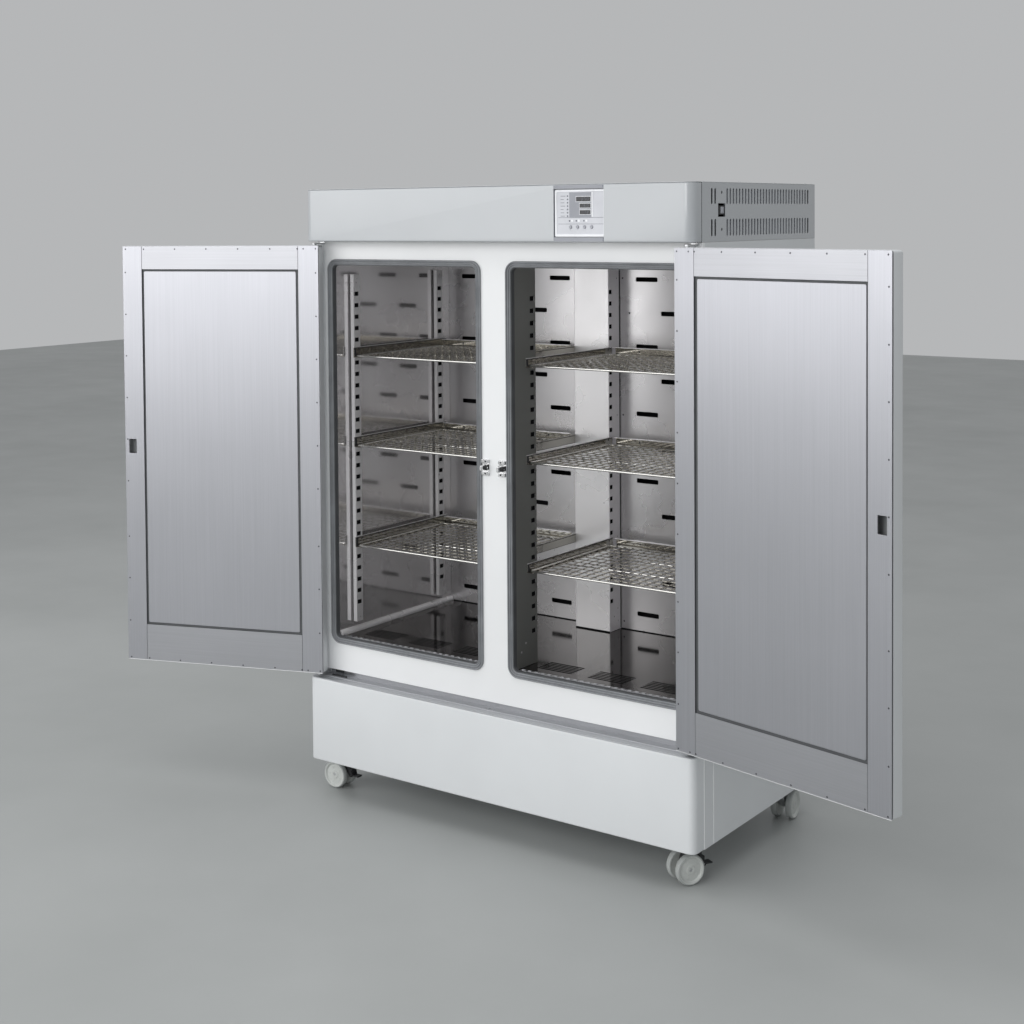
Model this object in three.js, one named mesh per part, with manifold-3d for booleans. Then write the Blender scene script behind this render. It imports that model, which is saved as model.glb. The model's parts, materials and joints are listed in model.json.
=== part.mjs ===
// A double-door laboratory incubator on casters, drawn with both doors standing open.
// Millimetres, +X to the right, +Y to the back, +Z up, floor at z = 0.
// The cabinet is drawn with its front plane at y = 0 and its centre at x = 0. The last lines move the whole
// object so that the middle of its bounding box stands over the origin.

import * as THREE from 'three';
import { mergeVertices } from 'three/addons/utils/BufferGeometryUtils.js';
import Module from 'manifold-3d';

const wasm = await Module();
wasm.setup();

// ---------------------------------------------------------------- driving dimensions

const WIDTH = 1200; // outside width of the cabinet
const DEPTH = 670; // front plane to rear panel
const HEIGHT = 1678; // floor to roof
const BASE_BOTTOM = 100; // the casters' overall height
const BASE_TOP = 328;
const FRAME_BOTTOM = 345; // lower edge of the face frame
const HEADER_BOTTOM = 1535; // underside of the control housing
const SHEET = 2; // sheet metal thickness
const GAP = 0.4; // between pieces that meet
const CORNER = 18; // radius of the vertical front corners
const RETURN_DEPTH = 47; // how far the front skins wrap round to the sides

const FRAME = { front: 50, back: 62 };
const OPENING = { inner: 39, outer: 558, bottom: 421, top: 1486, corner: 30 };
const GASKET = { width: 17.5, front: 43.6, inset: 16 };
const CHAMBER = { halfWidth: 541, front: 62.4, back: 580, bottom: 437, top: 1470 };

const POST = { proud: 18, width: 30, wall: 1.6, bottom: 468, top: 1441, frontY: 116, rearY: 497 };
const COLUMN = { half: 56, wall: 2, frontEnd: 158, rearStart: 520 };
const RUNNER = { front: 112, back: 536, height: 29, flange: 18, wall: 1.6 };
const SHELF = { levels: [680, 961, 1211], front: 114, back: 514, wire: 6, cells: 8 };
const SHELF_CLEARANCE = 2.5; // between a shelf and the upright flange of its runner

const DOOR = {
  bottom: 342,
  top: 1524,
  thickness: 42,
  hingeEdge: 598, // distance of the hinge-side edge from the cabinet's centre
  freeEdge: 2,
  corner: 8,
  borderSide: 60,
  borderTop: 66,
  borderBottom: 104,
  recess: 3,
};
const HINGE = { x: 578, y: 17, pin: 5, bore: 5.6, plate: 4, reach: 9 };
const OPEN_LEFT = 160; // degrees that the left door stands open
const OPEN_RIGHT = 167;

const CASTER = { x: 548, frontY: 98, rearY: 575, wheel: 37.5, trail: 27, wheelWidth: 17, halfGap: 12 };
const PEDAL = { y: -19.5, z: 39, pin: 2, hub: 4.5, halfWidth: 9 }; // from the swivel's own axis

const CONTROL = { left: 218, right: 361, bottom: 1547, top: 1665 };
const SWITCH = { y0: 127, y1: 164, z0: 1594, z1: 1626 };
const INLET = { x: -430, z: 1606, halfWidth: 14, halfHeight: 10.5 }; // cut-out in the rear panel
const KEEPER_Z = 955;

// ---------------------------------------------------------------- finishes

function finish(color, roughness, metalness) {
  return new THREE.MeshStandardMaterial({ color, roughness, metalness });
}

const PAINT = finish(0xd9dddd, 0.45, 0.0);
const STEEL = finish(0xb5b6b8, 0.28, 0.9);
const BRUSHED = finish(0xa9a9ad, 0.42, 0.9);
const CHROME = finish(0xd8dadc, 0.12, 1.0);
const GASKET_RUBBER = finish(0x63676b, 0.7, 0.0);
const BLACK_PLASTIC = finish(0x1d1f21, 0.5, 0.0);
const PANEL_PLASTIC = finish(0xc2c4cc, 0.5, 0.0);
const KEY_PLASTIC = finish(0xe4e5e8, 0.5, 0.0);
const WHEEL_PLASTIC = finish(0xc9cbc6, 0.55, 0.0);
const FOAM = finish(0xe6d9a8, 0.9, 0.0);

// ---------------------------------------------------------------- shape helpers

// A geometry with only merged positions, as a manifold-3d solid.
function solid(geometry) {
  const bare = geometry.clone();
  bare.deleteAttribute('normal');
  bare.deleteAttribute('uv');
  const merged = mergeVertices(bare, 1e-4);
  return new wasm.Manifold(
    new wasm.Mesh({
      numProp: 3,
      vertProperties: new Float32Array(merged.attributes.position.array),
      triVerts: new Uint32Array(merged.index.array),
    }),
  );
}

function geometryOf(manifold) {
  const mesh = manifold.getMesh();
  const geometry = new THREE.BufferGeometry();
  geometry.setAttribute('position', new THREE.BufferAttribute(mesh.vertProperties, 3));
  geometry.setIndex(new THREE.BufferAttribute(mesh.triVerts, 1));
  geometry.computeVertexNormals();
  return geometry;
}

function join(first, ...others) {
  return geometryOf(others.reduce((whole, piece) => whole.add(solid(piece)), solid(first)));
}

function cut(first, ...others) {
  return geometryOf(others.reduce((whole, piece) => whole.subtract(solid(piece)), solid(first)));
}

function box(x0, x1, y0, y1, z0, z1) {
  const geometry = new THREE.BoxGeometry(x1 - x0, y1 - y0, z1 - z0);
  return geometry.translate((x0 + x1) / 2, (y0 + y1) / 2, (z0 + z1) / 2);
}

// Traces a rectangle with its own radius at each corner: lower left, lower right, upper right, upper left.
function traceRectangle(path, x0, x1, y0, y1, radii) {
  const [a, b, c, d] = radii;
  path.moveTo(x0 + a, y0);
  path.lineTo(x1 - b, y0);
  if (b > 0) path.absarc(x1 - b, y0 + b, b, -Math.PI / 2, 0, false);
  path.lineTo(x1, y1 - c);
  if (c > 0) path.absarc(x1 - c, y1 - c, c, 0, Math.PI / 2, false);
  path.lineTo(x0 + d, y1);
  if (d > 0) path.absarc(x0 + d, y1 - d, d, Math.PI / 2, Math.PI, false);
  path.lineTo(x0, y0 + a);
  if (a > 0) path.absarc(x0 + a, y0 + a, a, Math.PI, Math.PI * 1.5, false);
  return path;
}

function rectangle(x0, x1, y0, y1, radii = [0, 0, 0, 0]) {
  return traceRectangle(new THREE.Shape(), x0, x1, y0, y1, radii);
}

function rectangleHole(x0, x1, y0, y1, radii = [0, 0, 0, 0]) {
  return traceRectangle(new THREE.Path(), x0, x1, y0, y1, radii);
}

function extrude(shape, depth, curveSegments) {
  return new THREE.ExtrudeGeometry(shape, { depth, bevelEnabled: false, curveSegments });
}

// A plan outline in x and y, raised from z0 to z1.
function raisePlan(shape, z0, z1, curveSegments = 4) {
  return extrude(shape, z1 - z0, curveSegments).translate(0, 0, z0);
}

// A front outline in x and z, with its thickness from y0 to y1.
function plateFront(shape, y0, y1, curveSegments = 4) {
  return extrude(shape, y1 - y0, curveSegments).rotateX(Math.PI / 2).translate(0, y1, 0);
}

function rod(radius, length, axis, segments = 16) {
  const geometry = new THREE.CylinderGeometry(radius, radius, length, segments);
  if (axis === 'x') geometry.rotateZ(Math.PI / 2);
  if (axis === 'z') geometry.rotateX(Math.PI / 2);
  return geometry;
}

// The same piece on the other side of the cabinet's centre plane.
function mirrored(geometry) {
  const copy = geometry.index ? geometry.toNonIndexed() : geometry.clone();
  copy.scale(-1, 1, 1);
  const position = copy.attributes.position;
  for (let i = 0; i < position.count; i += 3) {
    for (const axis of ['X', 'Y', 'Z']) {
      const second = position[`get${axis}`](i + 1);
      position[`set${axis}`](i + 1, position[`get${axis}`](i + 2));
      position[`set${axis}`](i + 2, second);
    }
  }
  copy.deleteAttribute('normal');
  copy.computeVertexNormals();
  return copy;
}

const cabinet = new THREE.Group();

function add(name, geometry, material, group = cabinet) {
  const mesh = new THREE.Mesh(geometry, material);
  mesh.name = name;
  group.add(mesh);
  return mesh;
}

function addPair(stem, leftGeometry, material) {
  add(`${stem}_left`, leftGeometry, material);
  add(`${stem}_right`, mirrored(leftGeometry), material);
}

// ---------------------------------------------------------------- outer casing

// A sheet bent round the front: a U in plan, with round outer corners.
function wrappedFront(z0, z1) {
  const half = WIDTH / 2;
  const outer = rectangle(-half, half, 0, RETURN_DEPTH, [CORNER, CORNER, 0, 0]);
  const bend = CORNER - SHEET;
  const inner = rectangle(-half + SHEET, half - SHEET, SHEET, RETURN_DEPTH + 5, [bend, bend, 0, 0]);
  return cut(raisePlan(outer, z0, z1, 6), raisePlan(inner, z0 - 1, z1 + 1, 6));
}

// The three other sides of a box: left side, back and right side, a U in plan open to the front.
function openBox(y0, z0, z1) {
  const half = WIDTH / 2;
  const outer = raisePlan(rectangle(-half, half, y0, DEPTH), z0, z1);
  const inner = raisePlan(rectangle(-half + SHEET, half - SHEET, y0 - 1, DEPTH - SHEET), z0 - 1, z1 + 1);
  return cut(outer, inner);
}

function buildBase() {
  const half = WIDTH / 2;
  const behindFront = RETURN_DEPTH + GAP;
  add('base_front', wrappedFront(BASE_BOTTOM, BASE_TOP), PAINT);
  const inside = half - SHEET - GAP;
  const chassis = join(
    openBox(behindFront, BASE_BOTTOM, BASE_TOP),
    box(-half + 1, half - 1, behindFront, DEPTH - 1, BASE_BOTTOM, BASE_BOTTOM + 3),
    raisePlan(
      rectangle(-inside, inside, SHEET + GAP, behindFront + 1, [CORNER, CORNER, 0, 0]),
      BASE_BOTTOM,
      BASE_BOTTOM + 3,
    ),
  );
  add('base_chassis', chassis, PAINT);

  // The sill closes the top of the base before the face frame and turns up behind the frame's lower edge.
  const sillBack = FRAME.back - GAP;
  const sill = join(
    raisePlan(
      rectangle(-half + 1, half - 1, 1, sillBack, [CORNER - 1, CORNER - 1, 0, 0]),
      BASE_TOP + GAP,
      BASE_TOP + GAP + SHEET,
    ),
    box(-half + 1, half - 1, sillBack - SHEET, sillBack, BASE_TOP + GAP, FRAME_BOTTOM - GAP),
  );
  add('ledge_sill', sill, BRUSHED);
}

function buildShell() {
  const half = WIDTH / 2;
  const z0 = BASE_TOP + GAP;
  const z1 = HEADER_BOTTOM - GAP;
  const behindFrame = FRAME.back + GAP;
  addPair('side_panel', box(-half, -half + SHEET, behindFrame, DEPTH, z0, z1), PAINT);
  const inside = half - SHEET - GAP;
  const { x, z, halfWidth, halfHeight } = INLET;
  const cutOut = box(x - halfWidth, x + halfWidth, DEPTH - 10, DEPTH + 10, z - halfHeight, z + halfHeight);
  const rear = box(-inside, inside, DEPTH - SHEET, DEPTH, z0, HEIGHT - SHEET - GAP);
  add('rear_panel', cut(rear, cutOut), PAINT);

  const { inner, outer, bottom, top, corner } = OPENING;
  const frame = rectangle(-half, half, FRAME_BOTTOM, z1);
  const radius = corner - GASKET.inset + 2;
  const radii = [radius, radius, radius, radius];
  for (const side of [-1, 1]) {
    const a = side * (inner + GASKET.inset);
    const b = side * (outer - GASKET.inset);
    frame.holes.push(
      rectangleHole(Math.min(a, b), Math.max(a, b), bottom + GASKET.inset, top - GASKET.inset, radii),
    );
  }
  add('face_frame', plateFront(frame, FRAME.front, FRAME.back), PAINT);
}

// Cutters for two rows of upright slots: a pair near the front, then an even run to the back.
function ventSlots(x0, x1) {
  const pitch = 16.2;
  const width = 6;
  const rows = [
    [1548, 1589],
    [1624, 1662],
  ];
  const places = [96, 113];
  for (let i = 0; i < 29; i += 1) places.push(174 + i * pitch);
  return rows.flatMap(([z0, z1]) => places.map((y) => box(x0, x1, y - width / 2, y + width / 2, z0, z1)));
}

function buildHeader() {
  const half = WIDTH / 2;
  const roofUnderside = HEIGHT - SHEET;
  const window = box(CONTROL.left, CONTROL.right, -5, 10, CONTROL.bottom, CONTROL.top);
  add('header_fascia', cut(wrappedFront(HEADER_BOTTOM, roofUnderside - GAP), window), PAINT);

  const roof = rectangle(-half, half, 0, DEPTH, [CORNER, CORNER, 0, 0]);
  add('header_roof', raisePlan(roof, roofUnderside, HEIGHT, 6), PAINT);

  const leftVent = box(-half, -half + SHEET, RETURN_DEPTH + GAP, DEPTH, HEADER_BOTTOM, roofUnderside - GAP);
  add('header_vent_left', cut(leftVent, ...ventSlots(-half - 5, -half + 5)), PAINT);
  const switchHole = box(half - 5, half + 5, SWITCH.y0, SWITCH.y1, SWITCH.z0, SWITCH.z1);
  const rightVent = cut(mirrored(leftVent), ...ventSlots(half - 5, half + 5), switchHole);
  add('header_vent_right', rightVent, PAINT);
}

// ---------------------------------------------------------------- control panel

function buildControls() {
  const { left, right, bottom, top } = CONTROL;
  const keyZ = 1572;
  const keyXs = [265, 285, 305, 325];
  const keyRadius = 4;
  const body = box(left + GAP, right - GAP, 1.5, 24, bottom + GAP, top - GAP);
  const wells = keyXs.map((x) => rod(keyRadius + GAP, 12, 'y', 12).translate(x, 4, keyZ));
  const displays = [
    [285, 325, 1632, 1645],
    [294, 325, 1617, 1628],
    [294, 325, 1602, 1612],
  ].map(([x0, x1, z0, z1]) => box(x0, x1, 0, 2.5, z0, z1));
  add('control_panel', cut(body, ...wells, ...displays), PANEL_PLASTIC);
  keyXs.forEach((x, i) => {
    const key = rod(keyRadius, 6.2, 'y', 12).translate(x, 3.6, keyZ);
    add(`key_${i + 1}`, key, KEY_PLASTIC);
  });

  // The rocker of the mains switch tips about its own middle, in the hole of the right vent panel.
  const middleY = (SWITCH.y0 + SWITCH.y1) / 2;
  const middleZ = (SWITCH.z0 + SWITCH.z1) / 2;
  const pivotX = WIDTH / 2 - 7;
  const rocker = join(
    box(pivotX - 1, WIDTH / 2 - 1, middleY - 15, middleY + 15, middleZ - 11, middleZ + 11),
    rod(4, 30, 'y', 12).translate(pivotX, middleY, middleZ),
  );
  add('mains_switch', rocker, BLACK_PLASTIC);
}

// The mains inlet: a flange on the rear panel round a socket that is open to the back.
function buildInlet() {
  const { x, z, halfWidth, halfHeight } = INLET;
  const w = halfWidth - GAP;
  const h = halfHeight - GAP;
  const wall = 1.6;
  const face = DEPTH + GAP + 2;
  const flange = box(x - w - 11, x + w + 11, DEPTH + GAP, face, z - h - 3, z + h + 3);
  const body = box(x - w, x + w, DEPTH - 22, DEPTH + GAP + 1, z - h, z + h);
  const well = box(x - w + wall, x + w - wall, DEPTH - 16, DEPTH + 10, z - h + wall, z + h - wall);
  add('mains_inlet', cut(join(flange, body), well), BLACK_PLASTIC);
}

// ---------------------------------------------------------------- chamber

function buildChamber() {
  const { halfWidth, front, back, bottom, top } = CHAMBER;
  const outside = halfWidth + SHEET;
  addPair('chamber_wall', box(-outside, -halfWidth, front, back - GAP, bottom, top), STEEL);
  add('chamber_ceiling', box(-outside, outside, front, back - GAP, top + GAP, top + GAP + SHEET), STEEL);

  const floorTop = bottom - GAP;
  add('chamber_floor', box(-outside, outside, front, back - GAP, floorTop - SHEET, floorTop), STEEL);
  const back1 = back + SHEET;
  add('chamber_back', box(-outside, outside, back, back1, floorTop - SHEET, top + GAP + SHEET), STEEL);

  // Foam between the chamber and the casing, open towards the face frame.
  const half = WIDTH / 2 - SHEET - GAP;
  const foamBack = DEPTH - SHEET - GAP;
  const foamOuter = box(-half, half, FRAME.back + GAP, foamBack, BASE_TOP + 4, HEADER_BOTTOM - GAP);
  const clear = SHEET + 2 * GAP;
  const hollow = box(
    -halfWidth - clear,
    halfWidth + clear,
    0,
    back + clear,
    bottom - 8,
    top + 8,
  );
  const duct = box(-400, 400, 0, back + 50, 800, 1200);
  add('insulation', cut(foamOuter, hollow, duct), FOAM);
}

// One shelf runner: an angle with an upright flange and a foot that carries the shelf.
function runner(x, direction, level) {
  const upright = box(
    Math.min(x, x + direction * RUNNER.wall),
    Math.max(x, x + direction * RUNNER.wall),
    RUNNER.front,
    RUNNER.back,
    level - RUNNER.wall,
    level + RUNNER.height,
  );
  const foot = box(
    Math.min(x, x + direction * RUNNER.flange),
    Math.max(x, x + direction * RUNNER.flange),
    RUNNER.front,
    RUNNER.back,
    level - RUNNER.wall,
    level,
  );
  return [upright, foot];
}

// A side rack: two channel posts against the chamber wall and the three runners that hang on them.
function sideRack() {
  const wallX = -CHAMBER.halfWidth + GAP;
  const faceX = -CHAMBER.halfWidth + POST.proud;
  const posts = [POST.frontY, POST.rearY].map((y) =>
    cut(
      box(wallX, faceX, y, y + POST.width, POST.bottom, POST.top),
      box(wallX - 1, faceX - POST.wall, y + POST.wall, y + POST.width - POST.wall, 0, HEIGHT),
    ),
  );
  const runners = SHELF.levels.flatMap((level) => runner(faceX - 0.6, 1, level));
  return join(posts[0], posts[1], ...runners);
}

// The centre rack: front and rear columns of folded sheet, with three runners on each side.
function centreRack() {
  const { half, wall, frontEnd, rearStart } = COLUMN;
  const bottom = CHAMBER.bottom + GAP;
  const top = CHAMBER.top - GAP;
  const front = cut(
    box(-half, half, CHAMBER.front + GAP, frontEnd, bottom, top),
    box(-half + wall, half - wall, 0, frontEnd - wall, 0, HEIGHT),
  );
  const rear = cut(
    box(-half, half, rearStart, CHAMBER.back - GAP, bottom, top),
    box(-half + wall, half - wall, rearStart + wall, DEPTH, 0, HEIGHT),
  );
  const runners = SHELF.levels.flatMap((level) => [
    ...runner(-half + 0.6, -1, level),
    ...runner(half - 0.6, 1, level),
  ]);
  return join(front, rear, ...runners);
}

function buildRacks() {
  addPair('rack', sideRack(), STEEL);
  add('rack_centre', centreRack(), STEEL);
}

// A wire shelf, drawn as a border wire with thin bars that run front to back inside it.
function shelfGrid(x0, x1, level) {
  const { front, back, wire, cells } = SHELF;
  const z0 = level + GAP;
  const pitch = (x1 - x0 - wire) / cells;
  const gaps = [];
  for (let i = 0; i < cells; i += 1) {
    const a = x0 + wire + i * pitch;
    gaps.push(box(a, a + pitch - wire, front + wire, back - wire, z0 - 5, z0 + wire + 5));
  }
  return cut(raisePlan(rectangle(x0, x1, front, back, [4, 4, 4, 4]), z0, z0 + wire, 2), ...gaps);
}

function buildShelves() {
  const outer = CHAMBER.halfWidth - POST.proud - RUNNER.wall - SHELF_CLEARANCE;
  const inner = COLUMN.half + RUNNER.wall + SHELF_CLEARANCE;
  SHELF.levels.forEach((level, i) => {
    const name = ['low', 'middle', 'high'][i];
    add(`shelf_left_${name}`, shelfGrid(-outer, -inner, level), STEEL);
    add(`shelf_right_${name}`, shelfGrid(inner, outer, level), STEEL);
  });
}

function buildGaskets() {
  const { inner, outer, bottom, top, corner } = OPENING;
  const ring = rectangle(-outer, -inner, bottom, top, [corner, corner, corner, corner]);
  const w = GASKET.width;
  const r = corner - w + 3;
  ring.holes.push(rectangleHole(-outer + w, -inner - w, bottom + w, top - w, [r, r, r, r]));
  addPair('gasket', plateFront(ring, GASKET.front, FRAME.front - GAP), GASKET_RUBBER);
}

// The fan wheel that moves the air through the duct behind the back wall.
function buildFan() {
  const blades = [];
  for (let i = 0; i < 6; i += 1) {
    blades.push(box(-4, 4, -10, 10, 12, 70).rotateY((i * Math.PI) / 3));
  }
  const wheel = join(rod(16, 24, 'y', 16), ...blades).translate(0, CHAMBER.back + 26, 1080);
  add('fan_wheel', wheel, BLACK_PLASTIC);
}

// ---------------------------------------------------------------- hinges, keepers and doors

// A hinge bracket: a flat tongue with an upright pin, and a lug that screws to the cabinet.
function hingeBracket(z0, z1, pinZ, tongueBack, lugBottom, lugTop) {
  const { x, y, pin, reach } = HINGE;
  const tongue = rectangle(-x - reach, -x + reach, y - reach, tongueBack, [reach, reach, 0, 0]);
  const pinLength = 14;
  return join(
    raisePlan(tongue, z0, z1, 4),
    rod(pin, pinLength, 'z', 20).translate(-x, y, pinZ),
    box(-x - reach, -x + reach, tongueBack - 1.4, tongueBack, lugBottom, lugTop),
  );
}

function buildFrameHardware() {
  // The lower tongue passes under the face frame to the sill; the upper one screws to the frame's front.
  const lower = DOOR.bottom - 6;
  const sillFace = FRAME.back - SHEET - 2 * GAP;
  const { plate } = HINGE;
  addPair(
    'hinge_lower',
    hingeBracket(lower, lower + plate, lower + plate + 6, sillFace, lower - 4, FRAME_BOTTOM - 1),
    CHROME,
  );
  const upper = DOOR.top + 2;
  addPair(
    'hinge_upper',
    hingeBracket(upper, upper + plate, upper - 6, FRAME.front - GAP, upper, HEADER_BOTTOM - 1),
    CHROME,
  );

  // Each keeper is a plate on the mullion with a roller block and a tongue that reaches into the door.
  const tongueReach = 26;
  const y1 = FRAME.front - GAP;
  const keeper = join(
    box(-38, -15, y1 - 3, y1, KEEPER_Z - 21, KEEPER_Z + 21),
    rod(7, 19, 'x', 16).translate(-26.5, y1 - 9, KEEPER_Z),
    box(-34, -19, y1 - 9, y1 - 1, KEEPER_Z - 12, KEEPER_Z + 12),
    box(-30, -23, y1 - tongueReach, y1 - 8, KEEPER_Z - 7, KEEPER_Z + 7),
  );
  addPair('keeper', keeper, CHROME);
}

// The left door, closed, in its own frame: origin on the hinge pin's axis at floor level, z up.
function leftDoor() {
  const { bottom, top, thickness, hingeEdge, freeEdge, corner, recess } = DOOR;
  const x0 = -hingeEdge + HINGE.x;
  const x1 = -freeEdge + HINGE.x;
  const y0 = -HINGE.y;
  const y1 = y0 + thickness;
  const lining = 2;
  const skin = 1.6;
  const shellBack = y1 - lining - recess - GAP;
  const plan = rectangle(x0, x1, y0, shellBack, [corner, corner, 0, 0]);
  const inside = rectangle(
    x0 + skin,
    x1 - skin,
    y0 + skin,
    shellBack + 5,
    [corner - skin, corner - skin, 0, 0],
  );
  const boss = 13;
  const bossBlocks = [
    [bottom, bottom + 22],
    [top - 22, top],
  ].map(([a, b]) => box(x0 + 1, boss, y0 + 5, shellBack, a, b));
  const bores = [bottom, top].map((z) => rod(HINGE.bore, 36, 'z', 20).translate(0, 0, z));
  const keeperZ = KEEPER_Z;
  const keeperX = HINGE.x - 26.5;
  const pocket = box(keeperX - 11, keeperX + 11, y1 - 34, shellBack + 1, keeperZ - 15, keeperZ + 15);
  const pocketWall = box(keeperX - 13, keeperX + 13, y1 - 36, shellBack, keeperZ - 17, keeperZ + 17);
  const pocketTie = box(keeperX + 12, x1 - 1, y1 - 30, y1 - 28, keeperZ - 17, keeperZ + 17);
  const pan = cut(raisePlan(plan, bottom, top, 3), raisePlan(inside, bottom + skin, top - skin, 3));
  const shell = cut(join(pan, ...bossBlocks, pocketWall, pocketTie), ...bores, pocket);

  // The lining: border strips round a panel that lies a little deeper.
  const z0 = bottom;
  const border = rectangle(x0, x1, z0, top);
  const borderPlate = plateFront(border, y1 - lining - recess, y1);
  const mouth = box(keeperX - 11.5, keeperX + 11.5, y1 - 20, y1 + 5, keeperZ - 20, keeperZ + 20);
  const { borderSide, borderTop, borderBottom } = DOOR;
  const sunk = box(
    x0 + borderSide,
    x1 - borderSide,
    y1 - recess,
    y1 + 5,
    z0 + borderBottom,
    top - borderTop,
  );
  return { shell, liner: cut(borderPlate, sunk, mouth) };
}

// A lever handle on the door's outer face, near the free edge, that turns on an upright pin.
function leftHandle() {
  const faceY = -HINGE.y - GAP;
  const x = HINGE.x - 58;
  const z = KEEPER_Z;
  const base = join(
    box(x - 22, x + 22, faceY - 4, faceY, z - 90, z + 90),
    box(x - 18, x + 14, faceY - 26, faceY - 3, z + 62, z + 74),
    box(x - 18, x + 14, faceY - 26, faceY - 3, z - 74, z - 62),
  );
  const pivot = { x: x - 8, y: faceY - 17 };
  const bored = cut(base, rod(3.4, 200, 'z', 16).translate(pivot.x, pivot.y, z));
  const lever = join(
    rod(3, 156, 'z', 16).translate(pivot.x, pivot.y, z),
    box(pivot.x - 7, pivot.x + 7, pivot.y - 7, pivot.y + 7, z - 61.4, z + 61.4),
    box(pivot.x - 6, pivot.x + 40, pivot.y - 15, pivot.y - 5, z - 61.4, z + 61.4),
  );
  return { bored, lever };
}

function buildDoors() {
  const door = leftDoor();
  const handle = leftHandle();
  const sides = [
    { name: 'left', sign: -1, open: -OPEN_LEFT, shape: (g) => g },
    { name: 'right', sign: 1, open: OPEN_RIGHT, shape: mirrored },
  ];
  for (const { name, sign, open, shape } of sides) {
    const leaf = new THREE.Group();
    leaf.position.set(sign * HINGE.x, HINGE.y, 0);
    leaf.rotation.z = THREE.MathUtils.degToRad(open);
    cabinet.add(leaf);
    add(`door_${name}_shell`, shape(door.shell), PAINT, leaf);
    add(`door_${name}_liner`, shape(door.liner), BRUSHED, leaf);
    add(`door_${name}_handle_base`, shape(handle.bored), CHROME, leaf);
    add(`door_${name}_handle_lever`, shape(handle.lever), BLACK_PLASTIC, leaf);
  }
}

// ---------------------------------------------------------------- casters

// A twin-wheel caster about its own swivel axis, trailing towards +Y, with the floor at z = 0.
function casterFork() {
  const { trail, halfGap } = CASTER;
  const plateTop = BASE_BOTTOM - GAP;
  return join(
    box(-32, 32, -32, 32, plateTop - 4, plateTop),
    rod(20, 14, 'z', 20).translate(0, 0, plateTop - 10),
    box(-halfGap + 2, halfGap - 2, -14, trail + 14, CASTER.wheel - 8, plateTop - 12),
  );
}

function casterWheels() {
  const { wheel, wheelWidth, halfGap, trail } = CASTER;
  const tread = 2.5;
  const outline = [
    [0, 0],
    [wheel - tread, 0],
    [wheel, tread],
    [wheel, wheelWidth - tread],
    [wheel - tread, wheelWidth],
    [0, wheelWidth],
  ].map(([r, h]) => new THREE.Vector2(r, h));
  const disc = new THREE.LatheGeometry(outline, 24).rotateZ(-Math.PI / 2);
  const right = disc.clone().translate(halfGap, 0, 0);
  const left = disc.clone().translate(-halfGap - wheelWidth, 0, 0);
  return join(rod(4, 2 * halfGap + 10, 'x', 16), right, left).translate(0, trail, wheel);
}

// A foot pedal: a hub on its pin, a tread that points forward and an upright tab.
function brakePedal() {
  const { y, z, pin, hub, halfWidth } = PEDAL;
  const whole = join(
    rod(hub, 2 * halfWidth, 'x', 12).translate(0, y, z),
    box(-halfWidth, halfWidth, y - 25, y, z - 2.5, z + 2),
    box(-halfWidth, halfWidth, y - 3, y + 2, z, z + 20),
  );
  return cut(whole, rod(pin + GAP, 60, 'x', 12).translate(0, y, z));
}

// Two ears on the fork and the pin between them that the pedal turns on.
function pedalEars() {
  const { y, z, pin, hub, halfWidth } = PEDAL;
  const inner = halfWidth + GAP;
  const outer = inner + 2;
  const ears = [-1, 1].map((side) => {
    const a = side * inner;
    const b = side * outer;
    return box(Math.min(a, b), Math.max(a, b), y - hub, -13, z - hub, z + hub);
  });
  return join(rod(pin, 2 * inner + 1, 'x', 12).translate(0, y, z), ...ears);
}

// Fork and wheels share one swivel, and the wheels' axle runs in a bore of the fork.
function buildCasters() {
  const axleBore = rod(4.6, 60, 'x', 16).translate(0, CASTER.trail, CASTER.wheel);
  const fork = cut(casterFork(), axleBore);
  const brakedFork = join(fork, pedalEars());
  const corners = [
    { name: 'front_left', x: -CASTER.x, y: CASTER.frontY, turn: 90, brake: true },
    { name: 'front_right', x: CASTER.x, y: CASTER.frontY, turn: 150, brake: true },
    { name: 'rear_left', x: -CASTER.x, y: CASTER.rearY, turn: 20, brake: false },
    { name: 'rear_right', x: CASTER.x, y: CASTER.rearY, turn: 5, brake: false },
  ];
  for (const { name, x, y, turn, brake } of corners) {
    const unit = new THREE.Group();
    unit.position.set(x, y, 0);
    unit.rotation.z = THREE.MathUtils.degToRad(turn);
    cabinet.add(unit);
    add(`caster_${name}_fork`, brake ? brakedFork : fork, CHROME, unit);
    add(`caster_${name}_wheels`, casterWheels(), WHEEL_PLASTIC, unit);
    if (brake) add(`caster_${name}_pedal`, brakePedal(), BLACK_PLASTIC, unit);
  }
}

// ---------------------------------------------------------------- the incubator

buildBase();
buildShell();
buildHeader();
buildControls();
buildInlet();
buildChamber();
buildRacks();
buildShelves();
buildGaskets();
buildFan();
buildFrameHardware();
buildDoors();
buildCasters();

const incubator = new THREE.Group();
incubator.add(cabinet);
incubator.updateMatrixWorld(true);
const middle = new THREE.Box3().setFromObject(incubator).getCenter(new THREE.Vector3());
cabinet.position.set(-middle.x, -middle.y, 0);
incubator.updateMatrixWorld(true);

export default incubator;
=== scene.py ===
"""Looks of a double-door laboratory incubator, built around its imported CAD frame.

Pieces are drawn in millimetres in the cabinet's own frame: x = 0 at the middle, y = 0 at the front plane,
z = 0 on the floor. A door's pieces are drawn closed, from its hinge axis. Each piece is then moved into the
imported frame, in metres.
"""

import json
import math

import bmesh
import bpy
from mathutils import Matrix, Vector
from mathutils.geometry import delaunay_2d_cdt


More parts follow.
